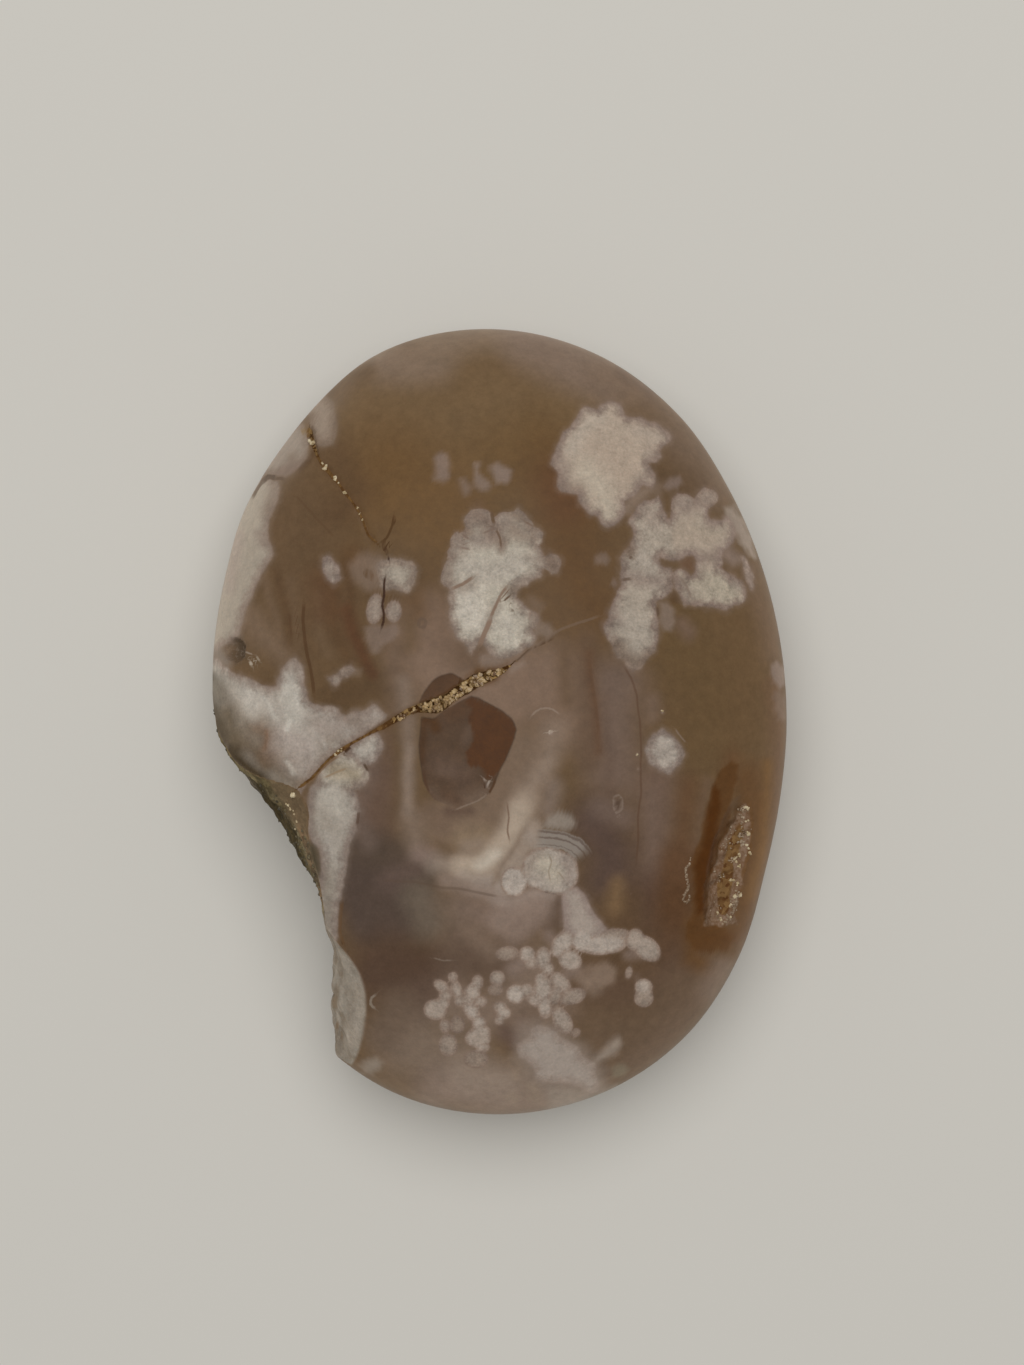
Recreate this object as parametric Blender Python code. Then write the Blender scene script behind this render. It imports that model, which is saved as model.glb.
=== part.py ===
"""A flower agate palm stone: one egg-shaped, polished pebble with a natural hollow in its left side.

The stone is a single solid. Two open veins cross its face, a crystal-lined slit lies near the right
edge and a small pit near the left one. Metres, with +Z up. The origin is on the table under the
middle of the stone, +Y runs along it and +X points to its unbroken side.
"""

import math

import bmesh
import bpy
import numpy as np
from mathutils import Matrix, Vector

MM = 0.001

# The polished pebble
THICKNESS = 22.0 * MM
WAIST_HEIGHT = 10.0 * MM
UNDERSIDE_DEPTH = 10.4 * MM
FACE_FULLNESS = 2.2
UNDERSIDE_FULLNESS = 2.5
OUTLINE_STEP = math.radians(15)
OUTLINE_RADII = np.array([
    23.75, 24.1, 25.15, 26.95, 29.4, 31.4, 32.45, 32.3, 30.75, 28.55, 26.0, 24.5,
    23.75, 24.2, 25.7, 28.0, 30.3, 32.05, 32.55, 31.95, 30.35, 27.85, 25.3, 24.05,
]) * MM
FACE_DEPTH = THICKNESS - WAIST_HEIGHT
SQUARES_ACROSS = 24

# One broad flat ground into the upper left shoulder
SHOULDER_AZIMUTH = math.radians(143)
SHOULDER_RISE = math.radians(24)
SHOULDER_REACH = 25.6 * MM
SHOULDER_NORMAL = np.array([
    math.cos(SHOULDER_AZIMUTH) * math.cos(SHOULDER_RISE),
    math.sin(SHOULDER_AZIMUTH) * math.cos(SHOULDER_RISE),
    math.sin(SHOULDER_RISE),
])
GRIND_SOFTNESS = 0.35 * MM

# The natural hollow: where the polish ends and where the rough wall stands furthest out
RIM_LINE = np.array([
    (5.5, -24.2), (2.6, -23.75), (0.4, -23.3), (-0.9, -22.85), (-2.0, -22.1), (-3.5, -20.75), (-4.4, -18.8),
    (-4.9, -16.7), (-6.2, -15.2), (-8.8, -15.0), (-10.6, -14.7), (-12.0, -14.3), (-14.6, -13.9),
    (-16.5, -13.55), (-17.5, -12.75), (-18.5, -11.85), (-19.6, -11.1), (-21.0, -10.6), (-23.4, -10.5),
    (-25.2, -10.8), (-27.6, -11.7), (-31.0, -14.2),
]) * MM
FOOT_LINE = np.array([
    (5.5, -24.3), (2.6, -23.8), (0.4, -23.4), (-1.9, -22.6), (-4.0, -21.5), (-5.9, -19.95), (-7.2, -18.65),
    (-8.9, -17.3), (-11.0, -16.4), (-12.6, -15.3), (-13.6, -14.6), (-16.2, -14.05), (-18.3, -13.95),
    (-20.0, -13.9), (-22.5, -13.85), (-25.4, -14.0), (-27.2, -13.95), (-31.0, -14.6),
]) * MM
WALL_FLARE_DROP = 2.6 * MM
WALL_UNDERCUT = 0.12
WALL_TURN_HEIGHT = 7.0 * MM
LUMP_HEIGHT = 0.30 * MM
LUMP_LENGTHS = (6.5 * MM, 3.1 * MM, 1.7 * MM)
LUMPS_EACH = 5

# Open veins: x, y and half width at each point
MAIN_VEIN = np.array([
    (-15.75, -5.05, 0.15), (-14.75, -4.3, 0.15), (-14.05, -3.5, 0.14), (-13.3, -2.75, 0.14), (-12.4, -2.1, 0.23),
    (-11.55, -1.55, 0.16), (-10.7, -1.1, 0.14), (-9.9, -0.65, 0.16), (-9.15, -0.3, 0.19), (-8.4, 0.15, 0.21),
    (-7.05, 0.95, 0.24), (-6.25, 1.2, 0.3), (-5.65, 1.3, 0.41), (-5.0, 1.4, 0.56), (-4.45, 1.6, 0.53),
    (-3.85, 2.0, 0.4), (-3.2, 2.45, 0.43), (-2.55, 2.85, 0.49), (-1.9, 3.3, 0.49), (-1.25, 3.55, 0.45),
    (-0.6, 3.75, 0.36), (-0.05, 3.95, 0.24), (0.65, 4.4, 0.14),
]) * MM
UPPER_VEIN = np.array([
    (-15.5, 23.8, 0.29), (-15.3, 23.1, 0.29), (-15.0, 22.25, 0.25), (-14.65, 21.45, 0.18), (-14.3, 20.8, 0.18),
    (-13.8, 20.2, 0.27), (-13.15, 19.45, 0.23), (-12.65, 18.85, 0.15), (-12.25, 18.25, 0.19),
    (-11.75, 17.65, 0.14), (-11.35, 17.1, 0.14), (-10.95, 16.4, 0.14), (-10.65, 15.7, 0.14),
    (-10.35, 14.85, 0.14), (-9.9, 14.4, 0.15),
]) * MM

# The crystal-lined slit and the pit: middle, then half length, half width and half depth
SLIT_MIDDLE = (18.3 * MM, -11.2 * MM)
SLIT_HALVES = (5.5 * MM, 1.6 * MM, 1.0 * MM)
SLIT_LEAN = math.radians(12.5)
PIT_MIDDLE = (-21.3 * MM, 5.8 * MM)
PIT_HALVES = (0.95 * MM, 0.9 * MM, 0.75 * MM)


def clear_scene():
    for thing in list(bpy.data.objects):
        bpy.data.objects.remove(thing)


def smooth_through(places, values, at):
    """Cubic curve through hand-chosen points; its slope at each is that of its two neighbours."""
    slopes = np.gradient(values, places)
    step = np.clip(np.searchsorted(places, at) - 1, 0, len(places) - 2)
    width = places[step + 1] - places[step]
    t = np.clip((at - places[step]) / width, 0, 1)
    start = (1 + 2 * t) * (1 - t) ** 2 * values[step] + t * (1 - t) ** 2 * width * slopes[step]
    end = t * t * (3 - 2 * t) * values[step + 1] - t * t * (1 - t) * width * slopes[step + 1]
    return start + end


def outline_radius(angle):
    """Distance from the middle to the pebble's edge in a direction, by the same cubic all round."""
    wrapped = np.concatenate([OUTLINE_RADII[-3:], OUTLINE_RADII, OUTLINE_RADII[:4]])
    places = (np.arange(len(wrapped)) - 3) * OUTLINE_STEP
    return smooth_through(places, wrapped, np.mod(angle, 2 * math.pi))


def face_height(x, y):
    """Height of the polished face above a place in plan: a superellipse, cut by the ground flat."""
    share = np.hypot(x, y) / outline_radius(np.arctan2(y, x))
    rise = (1 - np.clip(share, 0, 1) ** FACE_FULLNESS) ** (1 / FACE_FULLNESS)
    side, end, level = SHOULDER_NORMAL
    flat = (SHOULDER_REACH - side * x - end * y) / level
    return WAIST_HEIGHT + np.minimum(FACE_DEPTH * rise, flat)


def face_normal(x, y):
    """Outward direction of the polished face, from the slope of its height."""
    reach = 0.2 * MM
    slope_x = (face_height(x + reach, y) - face_height(x - reach, y)) / (2 * reach)
    slope_y = (face_height(x, y + reach) - face_height(x, y - reach)) / (2 * reach)
    return Vector((-float(slope_x), -float(slope_y), 1)).normalized()


def pebble_from_sphere(points):
    """Moves a unit sphere's points onto the pebble: its outline in plan, a superellipse in height."""
    x, y, z = points.T
    fullness = np.where(z > 0, FACE_FULLNESS, UNDERSIDE_FULLNESS)
    depth = np.where(z > 0, FACE_DEPTH, UNDERSIDE_DEPTH)
    angle = np.arctan2(y, x)
    out = np.hypot(x, y) ** (2 / fullness) * outline_radius(angle)
    height = WAIST_HEIGHT + depth * np.sign(z) * np.abs(z) ** (2 / fullness)
    return np.stack([out * np.cos(angle), out * np.sin(angle), height], axis=1)


def grind_shoulder(points):
    """Presses what stands past a plane back to it, with a soft edge, as a grinding wheel would."""
    past = (points - np.array([0, 0, WAIST_HEIGHT])) @ SHOULDER_NORMAL - SHOULDER_REACH
    pressed = GRIND_SOFTNESS * np.logaddexp(0, past / GRIND_SOFTNESS)
    return points - pressed[:, None] * SHOULDER_NORMAL


def lumps(y, z):
    """Rough relief of the broken wall: a sum of waves in fixed, seeded directions."""
    chance = np.random.default_rng(11)
    total = np.zeros_like(y)
    for length in LUMP_LENGTHS:
        for _ in range(LUMPS_EACH):
            way, phase = chance.uniform(0, 2 * math.pi, 2)
            along = y * math.cos(way) + z * math.sin(way)
            total += length / LUMP_LENGTHS[0] * np.sin(2 * math.pi * along / length + phase)
    return LUMP_HEIGHT * total / math.sqrt(LUMPS_EACH)


def wall_position(y, z):
    """X of the broken wall: at the rim line by the polish, easing out to the foot line below it."""
    order = slice(None, None, -1)
    rim = smooth_through(RIM_LINE[order, 0], RIM_LINE[order, 1], y)
    foot = smooth_through(FOOT_LINE[order, 0], FOOT_LINE[order, 1], y)
    drop = np.clip(face_height(rim, y) - z, 0, None)
    flared = rim - (rim - foot) * (1 - np.exp(-drop / WALL_FLARE_DROP))
    undercut = WALL_UNDERCUT * np.clip(WALL_TURN_HEIGHT - z, 0, None)
    roughness = 1 - np.exp(-drop / WALL_FLARE_DROP)
    return flared + undercut + lumps(y, z) * roughness


def mesh_object(name, form, collection):
    mesh = bpy.data.meshes.new(name)
    form.to_mesh(mesh)
    form.free()
    thing = bpy.data.objects.new(name, mesh)
    collection.objects.link(thing)
    return thing


def move_points(form, rule):
    """Gives every vertex of a mesh the place that a rule works out for all of them at once."""
    form.verts.ensure_lookup_table()
    places = rule(np.array([vertex.co for vertex in form.verts]))
    for vertex, place in zip(form.verts, places):
        vertex.co = place


def polished_pebble(collection):
    """A cube of squares blown up to a sphere, shaped to the pebble and stood on one small flat."""
    form = bmesh.new()
    bmesh.ops.create_cube(form, size=2)
    bmesh.ops.subdivide_edges(form, edges=form.edges[:], cuts=SQUARES_ACROSS - 1, use_grid_fill=True)

    def ball(points):
        even = np.tan(points * math.pi / 4)
        return even / np.linalg.norm(even, axis=1)[:, None]

    move_points(form, lambda points: grind_shoulder(pebble_from_sphere(ball(points))))
    below = bmesh.ops.bisect_plane(
        form, geom=form.verts[:] + form.edges[:] + form.faces[:], dist=1e-6,
        plane_co=(0, 0, 0), plane_no=(0, 0, -1), clear_outer=True,
    )
    rim = [part for part in below["geom_cut"] if isinstance(part, bmesh.types.BMEdge)]
    bmesh.ops.contextual_create(form, geom=rim)
    bmesh.ops.recalc_face_normals(form, faces=form.faces[:])
    return mesh_object("flower_agate_palm_stone", form, collection)


def hollow_cutter(collection):
    """A grid shaped to the broken wall, drawn out past the stone's left side."""
    y_from, y_to, z_from, z_to = -30.8 * MM, 5.4 * MM, -1.5 * MM, 23.0 * MM
    form = bmesh.new()
    bmesh.ops.create_grid(form, x_segments=44, y_segments=26, size=1)

    def wall(points):
        y = y_from + (points[:, 0] + 1) / 2 * (y_to - y_from)
        z = z_from + (points[:, 1] + 1) / 2 * (z_to - z_from)
        return np.stack([wall_position(y, z), y, z], axis=1)

    move_points(form, wall)
    drawn = bmesh.ops.extrude_face_region(form, geom=form.faces[:])
    for part in drawn["geom"]:
        if isinstance(part, bmesh.types.BMVert):
            part.co.x = -34.0 * MM
    bmesh.ops.recalc_face_normals(form, faces=form.faces[:])
    return mesh_object("hollow_cutter", form, collection)


def vein_cutter(name, route, collection):
    """A tube along the face that is as wide as the open vein, turned from a curve into a mesh."""
    curve = bpy.data.curves.new(name, "CURVE")
    curve.dimensions = "3D"
    curve.bevel_depth = 1.0
    curve.bevel_resolution = 2
    curve.use_fill_caps = True
    spline = curve.splines.new("POLY")
    spline.points.add(len(route) - 1)
    for point, (x, y, half_width) in zip(spline.points, route):
        point.co = (x, y, float(face_height(x, y)) + 0.25 * half_width, 1)
        point.radius = half_width
    guide = bpy.data.objects.new(name + "_guide", curve)
    collection.objects.link(guide)
    bpy.context.view_layer.update()
    evaluated = guide.evaluated_get(bpy.context.evaluated_depsgraph_get())
    form = bmesh.new()
    form.from_mesh(bpy.data.meshes.new_from_object(evaluated))
    bpy.data.objects.remove(guide)
    bmesh.ops.remove_doubles(form, verts=form.verts[:], dist=0.001 * MM)
    bmesh.ops.recalc_face_normals(form, faces=form.faces[:])
    return mesh_object(name, form, collection)


def pocket_cutter(name, middle, halves, lean, collection):
    """A flattened ball set into the face, its length turned from +Y by the lean."""
    x, y = middle
    up = face_normal(x, y)
    along = Vector((-math.sin(lean), -math.cos(lean), 0))
    along = (along - up * along.dot(up)).normalized()
    across = up.cross(along)
    turned = Matrix((along, across, up)).transposed().to_4x4()
    stretched = Matrix.Diagonal((*halves, 1))
    form = bmesh.new()
    bmesh.ops.create_icosphere(form, subdivisions=3, radius=1)
    place = Matrix.Translation((x, y, float(face_height(x, y))))
    bmesh.ops.transform(form, matrix=place @ turned @ stretched, verts=form.verts[:])
    return mesh_object(name, form, collection)


def cut_away(body, cutter):
    cutter.hide_render = True
    cutter.display_type = "WIRE"
    boolean = body.modifiers.new(cutter.name, "BOOLEAN")
    boolean.operation = "DIFFERENCE"
    boolean.object = cutter


def agate():
    finish = bpy.data.materials.new("agate")
    finish.use_nodes = True
    shader = finish.node_tree.nodes["Principled BSDF"]
    shader.inputs["Base Color"].default_value = (0.23, 0.15, 0.10, 1)
    shader.inputs["Roughness"].default_value = 0.2
    shader.inputs["Metallic"].default_value = 0.0
    shader.inputs["IOR"].default_value = 1.54
    return finish


def main():
    clear_scene()
    parts = bpy.data.collections.new("Flower agate palm stone")
    cutters = bpy.data.collections.new("Cutters")
    bpy.context.scene.collection.children.link(parts)
    bpy.context.scene.collection.children.link(cutters)
    stone = polished_pebble(parts)
    cut_away(stone, hollow_cutter(cutters))
    cut_away(stone, vein_cutter("main_vein_cutter", MAIN_VEIN, cutters))
    cut_away(stone, vein_cutter("upper_vein_cutter", UPPER_VEIN, cutters))
    cut_away(stone, pocket_cutter("slit_cutter", SLIT_MIDDLE, SLIT_HALVES, SLIT_LEAN, cutters))
    cut_away(stone, pocket_cutter("pit_cutter", PIT_MIDDLE, PIT_HALVES, 0.0, cutters))
    stone.data.materials.append(agate())
    stone.data.shade_smooth()
    stone.data.set_sharp_from_angle(angle=math.radians(35))


main()
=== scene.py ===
# A flower agate palm stone: brown chalcedony with pale blossoms, a golden crystal vein, a small
# crystal-lined slit and a rough natural hollow in its side. Lengths are in millimetres until a mesh
# is made, with z up from the table, and the stone's long way is y.
import math

import bpy
import numpy as np
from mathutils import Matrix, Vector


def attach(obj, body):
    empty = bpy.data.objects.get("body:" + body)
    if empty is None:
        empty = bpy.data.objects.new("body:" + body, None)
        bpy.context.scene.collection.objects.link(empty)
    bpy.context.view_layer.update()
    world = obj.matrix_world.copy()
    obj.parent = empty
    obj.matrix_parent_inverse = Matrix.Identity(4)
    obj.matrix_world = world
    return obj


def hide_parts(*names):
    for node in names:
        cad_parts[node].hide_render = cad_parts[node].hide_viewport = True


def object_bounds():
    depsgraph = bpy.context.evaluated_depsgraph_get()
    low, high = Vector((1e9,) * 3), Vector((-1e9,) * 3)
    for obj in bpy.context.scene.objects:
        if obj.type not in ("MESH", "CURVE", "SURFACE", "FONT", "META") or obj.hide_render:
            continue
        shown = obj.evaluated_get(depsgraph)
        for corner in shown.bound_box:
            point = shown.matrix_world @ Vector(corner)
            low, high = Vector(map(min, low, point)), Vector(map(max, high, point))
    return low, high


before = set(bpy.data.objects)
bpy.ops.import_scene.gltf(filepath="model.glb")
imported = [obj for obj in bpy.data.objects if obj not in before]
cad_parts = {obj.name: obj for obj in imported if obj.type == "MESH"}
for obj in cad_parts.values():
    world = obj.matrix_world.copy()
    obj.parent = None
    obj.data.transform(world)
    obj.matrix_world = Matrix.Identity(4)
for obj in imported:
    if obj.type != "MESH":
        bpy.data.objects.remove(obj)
cadLow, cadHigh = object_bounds()
mm = 0.001
print("frame loaded:", sorted(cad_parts))

studio = {
    "cameraPlace": (1.0, 3.2, 200.0),  # straight above the stone
    "lens": 60.30,
    "floorTone": (0.775, 0.75, 0.69),
    "skyTone": (1.0, 0.985, 0.96),
    "skyStrength": 0.22,
    "keyPlace": (-5.0, 165.0, 700.0),  # a wide soft lamp overhead, a little towards the stone's top end
    "keyWide": 680.0,
    "keyWatts": 3.25,
    "litGain": 0.75,  # how bright a white face of the stone comes out, used to turn seen tones to paint
    "haze": 0.0145,  # the lamp's reflection in the middle of the face
    "litVeil": 0.004,  # what the polish reflects on top of every tone
}


stoneForm = {
    "waist": 10.0,
    "faceDepth": 12.0,
    "undersideDepth": 10.4,
    "faceFullness": 2.2,
    "undersideFullness": 2.5,
    "radii": [23.75, 24.1, 25.15, 26.95, 29.4, 31.4, 32.45, 32.3, 30.75, 28.55, 26.0, 24.5,
              23.75, 24.2, 25.7, 28.0, 30.3, 32.05, 32.55, 31.95, 30.35, 27.85, 25.3, 24.05],
    "shoulderAzimuth": 143.0,
    "shoulderRise": 24.0,
    "shoulderReach": 25.6,
    "grindSoftness": 0.35,
    "cellsAcross": 270,  # squares across the polished face; the underside has half as many
}

hollow = {  # y and x of the edge of the polish, and of the furthest stand of the rough wall below it
    "rim": [-31.0, -14.2, -27.6, -11.7, -25.2, -10.8, -23.4, -10.5, -21.0, -10.6, -19.6, -11.1,
        -18.5, -11.85,
            -17.5, -12.75, -16.5, -13.55, -14.6, -13.9, -12.0, -14.3, -10.6, -14.7, -8.8, -15.0, -6.2, -15.2,
            -4.9, -16.7, -4.4, -18.8, -3.5, -20.75, -2.0, -22.1, -0.9, -22.85, 0.4, -23.3, 2.6, -23.75,
                5.5, -24.2],
    "foot": [-31.0, -14.6, -27.2, -13.95, -25.4, -14.0, -22.5, -13.85, -20.0, -13.9, -18.3, -13.95,
        -16.2, -14.05,
             -13.6, -14.6, -12.6, -15.3, -11.0, -16.4, -8.9, -17.3, -7.2, -18.65, -5.9, -19.95, -4.0, -21.5,
             -1.9, -22.6, 0.4, -23.4, 2.6, -23.8, 5.5, -24.3],
    "flareDrop": 2.6,
    "undercut": 0.12,
    "turnHeight": 7.0,
    "lumpHeight": 0.30,
    "lumpLengths": (6.5, 3.1, 1.7),
    "lumpsEach": 5,
    "grit": 0.16,  # height of the fine crystalline roughness
}

openings = {
    # open veins: x, y and half width along them
    "mainVein": [-15.75, -5.05, .1, -14.75, -4.3, .1, -14.05, -3.5, .09, -13.3, -2.75, .1, -12.4, -2.1, .16,
                 -11.55, -1.55, .1, -10.7, -1.1, .09, -9.9, -.65, .11, -9.15, -.3, .19, -8.4, .15, .21,
                 -7.05, .95, .24, -6.25, 1.2, .3, -5.65, 1.3, .41, -5, 1.4, .56, -4.45, 1.6, .53,
                     -3.85, 2, .4,
                 -3.2, 2.45, .43, -2.55, 2.85, .49, -1.9, 3.3, .49, -1.25, 3.55, .45, -.6, 3.75, .36,
                 -.05, 3.95, .24, .65, 4.4, .14],
    "upperVein": [-15.5, 23.8, .29, -15.3, 23.1, .29, -15, 22.25, .25, -14.65, 21.45, .18, -14.3, 20.8, .18,
                  -13.8, 20.2, .27, -13.15, 19.45, .23, -12.65, 18.85, .15, -12.25, 18.25, .19,
                  -11.75, 17.65, .14, -11.35, 17.1, .14, -10.95, 16.4, .14, -10.65, 15.7, .14,
                  -10.35, 14.85, .14, -9.9, 14.4, .15],
    "slitMiddle": (18.3, -11.2), "slitHalves": (5.5, 1.6, 1.0), "slitLean": 12.5,
    "pitMiddle": (-21.3, 5.8), "pitHalves": (0.95, 0.9, 0.75),
}

slitEdge = [20, -7.2, 19.6, -8.1, 19.1, -9, 18.6, -9.7, 18.3, -10.5, 18.1, -11.3, 17.8, -12.1, 17.5, -12.9,
    17.3, -13.7, 17.3, -14.7, 17.3, -15.6, 17.1, -16.3, 16.9, -17, 17.8, -16.9, 18.5, -17.1, 19.2, -16.8,
    19.8, -17, 19.5, -16.1, 19.7, -15.5, 19.8, -14.6, 20.1, -13.6, 20, -12.6, 20.3, -11.6, 20.6, -10.6,
    20.8, -9.6, 20.8, -8.6, 20.7, -7.4, 20.4, -6.7]  # in picture places


def smoothThrough(places, values, at):
    # Cubic curve through points; its slope at each is that of its two neighbours.
    slopes = np.gradient(values, places)
    step = np.clip(np.searchsorted(places, at) - 1, 0, len(places) - 2)
    width = places[step + 1] - places[step]
    t = np.clip((at - places[step]) / width, 0, 1)
    start = (1 + 2 * t) * (1 - t) ** 2 * values[step] + t * (1 - t) ** 2 * width * slopes[step]
    end = t * t * (3 - 2 * t) * values[step + 1] - t * t * (1 - t) * width * slopes[step + 1]
    return start + end


def smoothStep(low, high, value):
    # 0 below low, 1 above high, and 3t^2 - 2t^3 between.
    t = np.clip((value - low) / (high - low), 0, 1)
    return t * t * (3 - 2 * t)


def latticeChance(cells, seed):
    # A fixed number from 0 to 1 for each whole-numbered cell, by mixing its three counts.
    mixed = (cells[..., 0] * 73856093 ^ cells[..., 1] * 19349663
             ^ cells[..., 2] * 83492791 ^ (seed * 2654435 + 977))
    mixed = (mixed ^ (mixed >> 13)) * 1274126177
    return ((mixed ^ (mixed >> 16)) & 0xFFFFFF) / 0xFFFFFF


def drift(points, size, seed):
    # Smooth noise from -1 to 1: chance values at a lattice's corners, blended by 3t^2 - 2t^3.
    at = points / size + 1000
    cell = np.floor(at).astype(np.int64)
    t = at - cell
    t = t * t * (3 - 2 * t)
    total = np.zeros(len(points))
    for corner in range(8):
        step = np.array([corner & 1, corner >> 1 & 1, corner >> 2 & 1])
        share = np.prod(np.where(step == 1, t, 1 - t), axis=1)
        total += share * latticeChance(cell + step, seed)
    return 2 * total - 1


def cellCentreGap(points, size, seed):
    # Distance to the nearest of points scattered one to each lattice cell, as a share of the cell.
    at = points / size + 1000
    cell = np.floor(at).astype(np.int64)
    best = np.full(len(points), 9.0)
    for step in np.ndindex(3, 3, 3):
        other = cell + np.array(step) - 1
        spot = other + np.stack([latticeChance(other, seed + k) for k in range(3)], 1)
        best = np.minimum(best, np.linalg.norm(at - spot, axis=1))
    return best


def pairs(flat, each=2):
    return np.array(flat, float).reshape(-1, each)


def outlineRadius(angle):
    # Distance from the middle to the pebble's edge in a direction.
    radii = np.array(stoneForm["radii"])
    wrapped = np.concatenate([radii[-3:], radii, radii[:4]])
    places = (np.arange(len(wrapped)) - 3) * math.radians(15)
    return smoothThrough(places, wrapped, np.mod(angle, 2 * math.pi))


shoulderTurn = math.radians(stoneForm["shoulderAzimuth"])
shoulderTilt = math.radians(stoneForm["shoulderRise"])
shoulderNormal = np.array([math.cos(shoulderTurn) * math.cos(shoulderTilt),
                           math.sin(shoulderTurn) * math.cos(shoulderTilt), math.sin(shoulderTilt)])


def faceHeight(x, y):
    # Height of the polished face over a place in plan: a superellipse, cut by the ground flat.
    full = stoneForm["faceFullness"]
    share = np.hypot(x, y) / outlineRadius(np.arctan2(y, x))
    rise = (1 - np.clip(share, 0, 1) ** full) ** (1 / full)
    side, end, level = shoulderNormal
    flat = (stoneForm["shoulderReach"] - side * x - end * y) / level
    return stoneForm["waist"] + np.minimum(stoneForm["faceDepth"] * rise, flat)


def faceNormal(x, y):
    # Outward direction of the face, from the slope of its height.
    reach = 0.2
    slopeX = (faceHeight(x + reach, y) - faceHeight(x - reach, y)) / (2 * reach)
    slopeY = (faceHeight(x, y + reach) - faceHeight(x, y - reach)) / (2 * reach)
    normal = np.stack([-slopeX, -slopeY, np.ones_like(slopeX)], -1)
    return normal / np.linalg.norm(normal, axis=-1, keepdims=True)


def grindShoulder(points):
    # Presses what stands past a plane back to it, with a soft edge.
    soft = stoneForm["grindSoftness"]
    past = (points - np.array([0, 0, stoneForm["waist"]])) @ shoulderNormal - stoneForm["shoulderReach"]
    return points - (soft * np.logaddexp(0, past / soft))[:, None] * shoulderNormal


def pebblePoints(ring, angle, upper):
    # ring runs 0 at the pole to 1 at the waist in even steps along the profile, which is
    # out = sin(t)^(2/full) x outline radius and up = cos(t)^(2/full) x depth.
    full = stoneForm["faceFullness" if upper else "undersideFullness"]
    depth = stoneForm["faceDepth"] if upper else -stoneForm["undersideDepth"]
    t = np.linspace(0, math.pi / 2, 2000)
    out, up = np.sin(t) ** (2 / full) * 28, np.cos(t) ** (2 / full) * depth
    run = np.concatenate([[0], np.cumsum(np.hypot(np.diff(out), np.diff(up)))])
    turn = np.interp(ring * run[-1], run, t)
    reach = np.sin(turn) ** (2 / full) * outlineRadius(angle)
    height = stoneForm["waist"] + np.cos(turn) ** (2 / full) * depth
    height = np.where(ring > 0.999999, stoneForm["waist"], height)
    return np.stack([reach * np.cos(angle), reach * np.sin(angle), height], 1), (1 - ring) * run[-1]


def lumps(y, z):
    # Rough relief of the broken wall: a sum of waves in fixed, seeded directions.
    chance = np.random.default_rng(11)
    total = np.zeros_like(y)
    for length in hollow["lumpLengths"]:
        for _ in range(hollow["lumpsEach"]):
            way, phase = chance.uniform(0, 2 * math.pi, 2)
            along = y * math.cos(way) + z * math.sin(way)
            total += length / 6.5 * np.sin(2 * math.pi * along / length + phase)
    return hollow["lumpHeight"] * total / math.sqrt(hollow["lumpsEach"])


def rimX(y):
    rim = pairs(hollow["rim"])
    return smoothThrough(rim[:, 0], rim[:, 1], y)


def wallX(y, z):
    # x of the broken wall: at the rim line by the polish, easing out to the foot line below it.
    foot = pairs(hollow["foot"])
    rim, stand = rimX(y), smoothThrough(foot[:, 0], foot[:, 1], y)
    drop = np.clip(faceHeight(rim, y) - z, 0, None)
    eased = 1 - np.exp(-drop / hollow["flareDrop"])
    under = hollow["undercut"] * np.clip(hollow["turnHeight"] - z, 0, None)
    inBite = (y > -30.8) & (y < 5.4)
    return np.where(inBite, rim - (rim - stand) * eased + under + lumps(y, z) * eased, -99), drop


def roundSquare(cells):
    # A square grid bent to a disc: the ring is the larger of |s| and |t|, the angle runs evenly along it.
    s, t = np.meshgrid(np.linspace(-1, 1, cells + 1), np.linspace(-1, 1, cells + 1), indexing="ij")
    wide = np.abs(s) >= np.abs(t)
    ring = np.where(wide, s, t)
    safe = np.where(ring == 0, 1, ring)
    angle = np.where(wide, math.pi / 4 * t / safe, math.pi / 2 - math.pi / 4 * s / safe)
    return np.abs(ring).ravel(), (angle + np.where(ring < 0, math.pi, 0)).ravel()


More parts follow.
